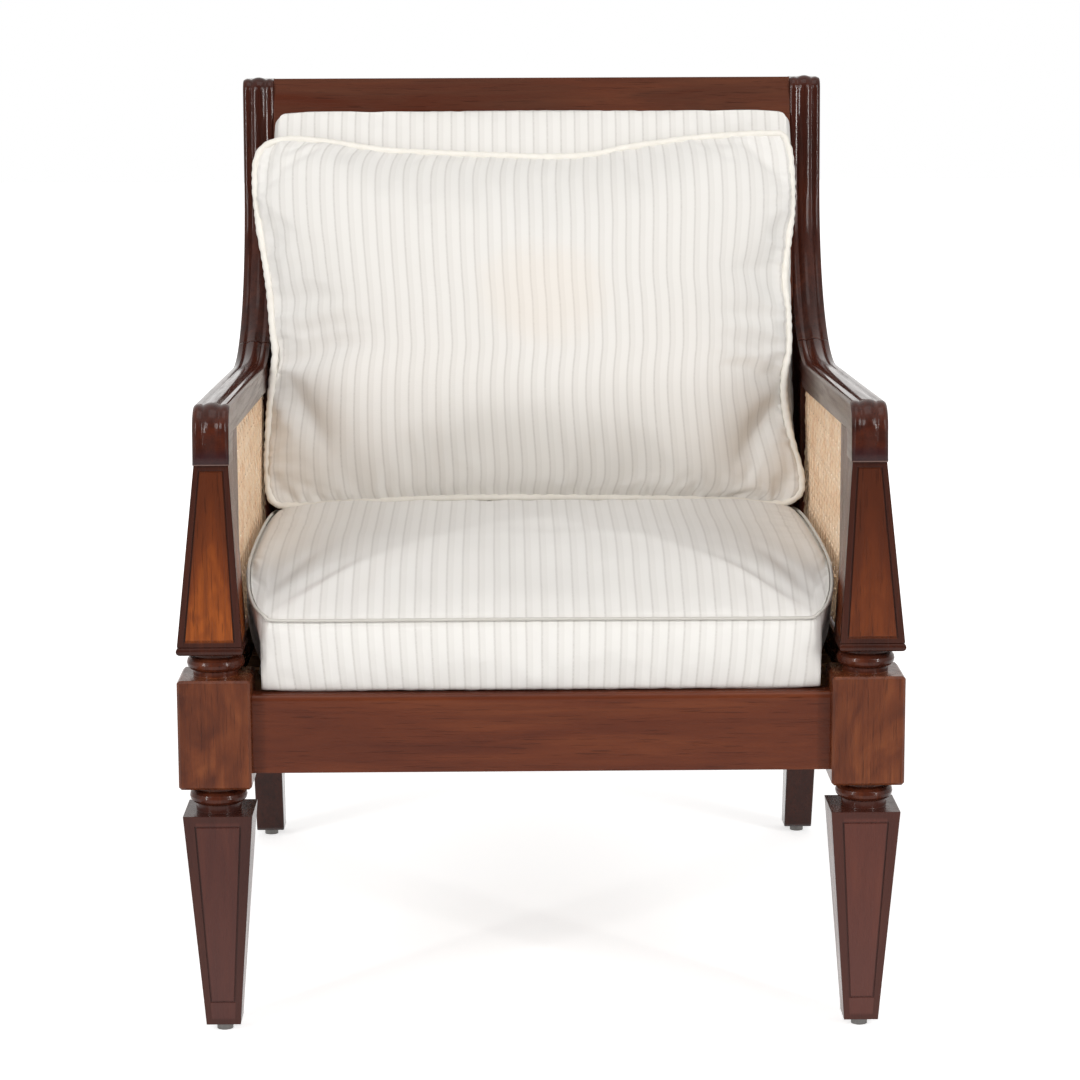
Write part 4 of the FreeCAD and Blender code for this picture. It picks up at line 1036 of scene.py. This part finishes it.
def carved_back_post(side, name):
    """Sabre leg and reeded stile, sawn in one piece."""
    forward = polar((0, 0), 1.0, -90.0 - stile_lean)
    upward = polar((0, 0), 1.0, 180.0 - stile_lean)
    stile_foot = polar(bow_centre, bow_radius, bow_end_angle)
    rise = stile_top - top_roll_radius * (1 - forward[1]) - stile_foot[1]
    roll_foot = stile_foot + upward * rise / upward[1]
    roll_centre = roll_foot - forward * top_roll_radius
    top_rear = roll_centre + upward * top_roll_radius + forward * (top_roll_radius - stile_depth)
    round_centre = top_rear + (forward - upward) * top_rear_round
    back_foot = polar(bow_centre, bow_radius + stile_depth, bow_end_angle)
    leave = polar(bow_centre, bow_radius + stile_depth, stile_leave_angle)
    hollow_radius = (leave[0] - leg_back_depth) / (1 - math.sin(math.radians(stile_leave_angle)))
    hollow_centre = np.array([leg_back_depth + hollow_radius,
                              leave[1] - hollow_radius * math.cos(math.radians(stile_leave_angle))])
    bend_centre = np.array([leg_back_depth + leg_back_bend_radius, hollow_centre[1]])
    away = np.array([foot_rear[0] - bend_centre[0], bend_centre[1] - foot_rear[1]])
    rear_angle = math.degrees(math.atan2(away[0], away[1])
                              - math.acos(leg_back_bend_radius / np.linalg.norm(away)))
    rear_low = polar(bend_centre, leg_back_bend_radius, rear_angle)
    front_centre = np.array([leg_front_depth + leg_front_bend_radius, front_bend_height])
    front_turn = math.degrees(leg_rake)
    front_low = polar(front_centre, leg_front_bend_radius, front_turn - 90.0)
    split = min(front_low[1], rear_low[1])

    def at_split(low, high):
        return low + (high - low) * (split - low[1]) / (high[1] - low[1])

    front_split, rear_split = at_split(foot_front, front_low), at_split(foot_rear, rear_low)
    shoulder = polar(bow_centre, shoulder_radius, shoulder_angle)
    rear = side_line([
        bend(bow_centre, bow_radius, arm_joint_angle, bow_end_angle, (1.0, 1.0), (2.0, 2.0)),
        run(stile_foot, roll_foot, (1.0, 1.0), (2.0, 1.6)),
        bend(roll_centre, top_roll_radius, -90.0 - stile_lean, -180.0 - stile_lean, (1.0, 1.0), (1.6, 1.6)),
        run(roll_centre + upward * top_roll_radius, top_rear + forward * top_rear_round, (1.0, 0.0),
            (1.6, 2.0)),
        bend(round_centre, top_rear_round, -180.0 - stile_lean, -270.0 - stile_lean),
        run(top_rear - upward * top_rear_round, back_foot),
        bend(bow_centre, bow_radius + stile_depth, bow_end_angle, stile_leave_angle),
        bend(hollow_centre, hollow_radius, stile_leave_angle - 180.0, -90.0),
        bend(bend_centre, leg_back_bend_radius, -90.0, rear_angle),
        run(rear_low, rear_split), run(rear_split, foot_rear)])
    front = side_line([
        run(foot_front, front_split), run(front_split, front_low),
        bend(front_centre, leg_front_bend_radius, front_turn - 90.0, -90.0),
        run((leg_front_depth, front_bend_height), shoulder, edge=(2.0, 0.0))])
    top = side_line([bend(bow_centre, shoulder_radius, shoulder_angle, arm_joint_angle, edge=(0.0, 0.0))])

    def across(share, height):
        low = max(0.0, (split - height) / (split - foot_front[1]))
        half = arm_half_width + (foot_half_width - arm_half_width) * low
        return side * (arm_x + foot_splay * low + share * half)

    low = len(rear) - len(run(rear_split, foot_rear))
    high = len(rear) + len(run(foot_front, front_split)) - 1
    return carved(name, [rear, front, top], across, stile_wood, (low, high))


# Woven cane
cane_pitch = 12.7
strand_width = 2.5
diagonal_width = 2.6
strand_thickness = 0.7
strand_pair_share = 0.18
weave_lift = 0.35
across_layer, along_layer, first_diagonal_layer, second_diagonal_layer = -0.45, 0.15, 0.75, 1.0


def weave(name, inside, low, high, to_world, material):
    """Six-way hand-woven cane inside an outline. Places are millimetres in the panel's plane."""
    vertices, faces = [], []
    step = cane_pitch / 3

    def strand(start, direction, length, width, layer, phase):
        direction = np.array(direction, dtype=float)
        direction /= np.linalg.norm(direction)
        across = np.array([-direction[1], direction[0]]) * width / 2
        joined = False
        for i in range(int(length / step) + 2):
            place = np.array(start) + direction * i * step
            if not inside(*place):
                joined = False
                continue
            lift = layer + weave_lift * math.sin(2 * math.pi * i * step / (2 * cane_pitch) + phase)
            here = len(vertices)
            vertices.extend(to_world(*edge, lift) for edge in (place + across, place - across))
            if joined:
                faces.append([here - 2, here - 1, here + 1, here])
            joined = True

    wide, tall = high[0] - low[0], high[1] - low[1]
    for column in range(int(wide / cane_pitch) + 1):
        for side in (-strand_pair_share, strand_pair_share):
            start = (low[0] + (column + 0.5 + side) * cane_pitch, low[1])
            strand(start, (0, 1), tall, strand_width, across_layer, math.pi * column)
    for row in range(int(tall / cane_pitch) + 1):
        for side in (-strand_pair_share, strand_pair_share):
            start = (low[0], low[1] + (row + 0.5 + side) * cane_pitch)
            strand(start, (1, 0), wide, strand_width, along_layer, math.pi * row)
    reach = (wide + tall) * 1.125
    for number in range(int((wide + tall) / cane_pitch) + 2):
        offset, phase = low[0] + number * cane_pitch, math.pi * number
        strand((offset - tall, low[1]), (1, 1), reach, diagonal_width, first_diagonal_layer, phase)
        strand((offset, low[1]), (-1, 1), reach, diagonal_width, second_diagonal_layer, phase)
    panel = add_mesh(name, vertices, faces, material, smooth=False)
    thick = panel.modifiers.new("peel", "SOLIDIFY")
    thick.thickness = strand_thickness * MM
    thick.offset = 0.0
    return panel


side_cane_front = 110.0
side_cane_foot = 370.0
side_cane_x = 302.2
side_cane_reach = (540.0, 590.0)
side_cane_level_from = 530.0
back_cane_half_width = 265.4
back_cane_foot = -0.2
back_cane_top = 403.2
back_cane_out = 10.5


def side_cane_top(depth):
    start_depth = bow_centre[0] - shoulder_radius * math.sin(math.radians(arm_slope))
    if depth > start_depth:
        return bow_centre[1] - math.sqrt(shoulder_radius ** 2 - (depth - bow_centre[0]) ** 2)
    start_height = bow_centre[1] - shoulder_radius * math.cos(math.radians(arm_slope))
    return start_height + (start_depth - depth) * math.tan(math.radians(arm_slope))


def side_cane_rear(height):
    if height > front_bend_height:
        return leg_front_depth
    return (leg_front_depth + leg_front_bend_radius
            - math.sqrt(leg_front_bend_radius ** 2 - (front_bend_height - height) ** 2))


def side_cane(side, name):
    """Woven panel under one arm."""

    def inside(depth, height):
        return (side_cane_front < depth < side_cane_rear(height) and height > side_cane_foot
                and height < side_cane_top(min(depth, side_cane_level_from)))

    def to_world(depth, height, lift):
        return spot(side * (side_cane_x - lift), depth, height)

    return weave(name, inside, (side_cane_front, side_cane_foot), side_cane_reach, to_world, cane)


def back_cane():
    """Woven panel of the back."""
    half, foot, top = back_cane_half_width, back_cane_foot, back_cane_top

    def inside(x, along):
        return -half < x < half and foot < along < top

    def to_world(x, along, lift):
        return slope_grid(np.array([x, back_cane_out + lift, along]))

    return weave("back_cane_weave", inside, (-half, foot), (half, top), to_world, cane)


# Materials on the carried-over nodes

fabric = ticking("striped_ticking")
stained_fabric = ticking("striped_ticking_pillow", stain=((0.015, 0.085), (0.25, 0.075)))
welt_fabric = piping_cloth("cream_piping", 1.0)
# Darker copy of the piping cloth: painted shade, not a different cloth.
shaded_seam_fabric = piping_cloth("seam_piping_painted_shade", 0.68)
cane = cane_skin()
glide_steel = steel()
deck_wood = inner_wood()
bright_fire = ((0.090, 0.020, 0.006), (0.165, 0.036, 0.008), (0.30, 0.072, 0.012))
dim_fire = ((0.070, 0.016, 0.006), (0.100, 0.022, 0.007), (0.150, 0.034, 0.009))
left_leg_tone, right_leg_tone = (0.060, 0.017, 0.014), (0.110, 0.030, 0.021)
post_wood = {"left": front_post_wood("front_post_wood_left", (0.3, 0.0, 0.7), bright_fire, left_leg_tone),
             "right": front_post_wood("front_post_wood_right", (1.9, 0.4, 2.2), dim_fire, right_leg_tone)}
arm_wood = carved_wood("arm_wood", "y", (0.0, 0.4, 0.0))
stile_wood = carved_wood("stile_wood", "z", (0.2, 0.1, 0.4))
rail_wood = polished_wood("rail_wood", "x", (0.0, 0.0, 0.3), (RED_WOOD, (0.125, 0.030, 0.012), WARM_WOOD))
crest_wood = polished_wood("crest_wood", "x", (1.4, 0.2, 0.1), (RED_WOOD, (0.095, 0.034, 0.020),
                                                                (0.150, 0.046, 0.023)))
side_wood = polished_wood("side_rail_wood", "y", (0.5, 0.2, 0.9))
upright_wood = polished_wood("upright_wood", "z", (2.5, 0.2, 0.9))


def wood_for(name):
    """Material of a carried-over CAD node."""
    side = "left" if name.endswith("left") else "right"
    chosen = {
        "front_post": post_wood[side], "arm": arm_wood, "back_post": stile_wood,
        "front_seat_rail": rail_wood, "back_seat_rail": rail_wood, "crest_rail": crest_wood,
        "lower_back_rail": crest_wood, "side_seat_rail": side_wood, "side_panel_rail": side_wood,
        "side_panel_stile": upright_wood, "back_stile": upright_wood, "front_glide": glide_steel,
        "back_glide": glide_steel,
    }
    for start in sorted(chosen, key=len, reverse=True):
        if name.startswith(start):
            return chosen[start]
    return deck_wood


for name, thing in nodes.items():
    thing.data.materials.clear()
    thing.data.materials.append(wood_for(name))

seat_pieces = seat_cushion()
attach(seat_pieces[0], "seat_cushion")
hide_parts("seat_cushion")
back_pieces = back_cushion()
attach(back_pieces[0], "back_cushion")
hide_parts("back_cushion")
pillow_pieces = pillow()
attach(pillow_pieces[0], "pillow")
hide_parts("pillow")
for body, pieces in (("seat_cushion", seat_pieces), ("back_cushion", back_pieces), ("pillow", pillow_pieces)):
    for piece in pieces:
        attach(piece, body)

for side, word in ((-1, "left"), (1, "right")):
    for make, start in ((carved_arm, "arm_"), (carved_back_post, "back_post_")):
        body = make(side, start + "carved_" + word)
        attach(body, "frame")
        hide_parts(start + word)
    panel = side_cane(side, "side_cane_weave_" + word)
    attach(panel, "frame")
    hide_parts("side_cane_" + word)
panel = back_cane()
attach(panel, "frame")
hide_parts("back_cane")


# Stage, light and camera


def white_for(tree, place_y, room_starts, room_ends):
    """How white the backdrop is: fully for the camera and through glass, and for a gloss all but the dark
    room in front of the set, which ends at one y and starts at another."""
    path = tree.node("LightPath", {})
    straight = tree.math("MAXIMUM", path.outputs["Is Camera Ray"], path.outputs["Is Transmission Ray"])
    set_side = tree.step(place_y, room_starts, room_ends, 0.08, 1.0)
    glossy = path.outputs["Is Glossy Ray"]
    return straight, glossy, tree.times(glossy, set_side)


def stage_floor():
    """Pale studio floor that keeps the chair's shadow."""
    size = 14.0
    floor = add_mesh("studio_floor", [(-size, -size, 0), (size, -size, 0), (size, size, 0), (-size, size, 0)],
                     [[0, 1, 2, 3]], floor_material(), smooth=False)


def floor_material():
    """Pale floor that the camera sees as white, except where the chair shades it."""
    tree = Tree("studio_floor_paint")
    tree.finish((0.84, 0.84, 0.84, 1.0), 0.9, **{"Specular IOR Level": 0.1})
    x, y = tree.parts(tree.coordinates())[:2]
    away = tree.math("SQRT", tree.plus(tree.times(x, x), tree.times(y, y)))
    straight, _, glossy_white = white_for(tree, y, -1.6, -0.8)
    seen = tree.times(straight, tree.step(away, 0.5, 2.4, 0.66, 1.0))
    glow = tree.node("Emission", {"Strength": tree.plus(seen, tree.times(glossy_white, 0.6))})
    both = tree.node("AddShader", {0: tree.shader.outputs[0], 1: glow.outputs[0]})
    tree.plug(both.outputs[0], tree.nodes["Material Output"].inputs["Surface"])
    return tree.material


def studio_world():
    """White backdrop for the camera, softer grey for light and reflections."""
    world = bpy.data.worlds.new("studio")
    bpy.context.scene.world = world
    tree = Tree("studio", world)
    direction = tree.parts(tree.coordinates("Generated"))
    straight, glossy, glossy_white = white_for(tree, direction[1], -0.95, -0.45)
    unseen = tree.times(tree.minus(1.0, glossy), 0.36)
    tree.plug((1.0, 0.985, 0.97, 1.0), tree.shader.inputs["Color"])
    tree.plug(tree.plus(unseen, glossy_white), tree.shader.inputs["Strength"])
    white = tree.node("Background", {"Color": (1.0, 1.0, 1.0, 1.0)})
    both = tree.node("MixShader", {0: straight, 1: tree.shader.outputs[0], 2: white.outputs[0]})
    tree.plug(both.outputs[0], tree.nodes["World Output"].inputs["Surface"])


def softbox(name, place, aim, width, height, power):
    """Area light pointed at a spot."""
    lamp = bpy.data.lights.new(name, "AREA")
    lamp.shape = "RECTANGLE"
    lamp.size = width
    lamp.size_y = height
    lamp.energy = power
    thing = bpy.data.objects.new(name, lamp)
    thing.location = place
    thing.rotation_euler = (Vector(aim) - Vector(place)).to_track_quat("-Z", "Y").to_euler()
    bpy.context.scene.collection.objects.link(thing)


def photo_camera():
    """Camera at the photograph's place and angle."""
    yaw, pitch, roll = (math.radians(a) for a in (camera_yaw, camera_pitch, camera_roll))
    ahead = Vector((math.sin(yaw) * math.cos(pitch), math.cos(yaw) * math.cos(pitch), -math.sin(pitch)))
    level = Vector((math.cos(yaw), -math.sin(yaw), 0.0))
    upright = level.cross(ahead)
    right = math.cos(roll) * level + math.sin(roll) * upright
    up = -math.sin(roll) * level + math.cos(roll) * upright
    data = bpy.data.cameras.new("photo_camera")
    data.lens = camera_lens
    data.sensor_width = 36.0
    thing = bpy.data.objects.new("photo_camera", data)
    turn = Matrix((right, up, -ahead)).transposed().to_4x4()
    thing.matrix_world = Matrix.Translation(spot(camera_side, -camera_away, camera_height)) @ turn
    bpy.context.scene.collection.objects.link(thing)
    bpy.context.scene.camera = thing


stage_floor()
studio_world()
middle = (0.0, 0.0, 0.5)
for kind, (x, y, z), width, height, power in (("_softbox", (2.2, -2.9, 2.3), 1.3, 1.3, 39.5),
                                              ("_strip", (2.5, -2.6, 1.2), 0.14, 1.0, 25.0)):
    softbox("left" + kind, (-x, y, z), middle, width, height, power)
    softbox("right" + kind, (x, y, z), middle, width, height, power)
softbox("overhead_softbox", (0.0, -0.6, 3.2), (0.0, 0.1, 0.4), 1.8, 1.8, 13.0)
photo_camera()
bpy.context.scene.view_settings.view_transform = "Standard"
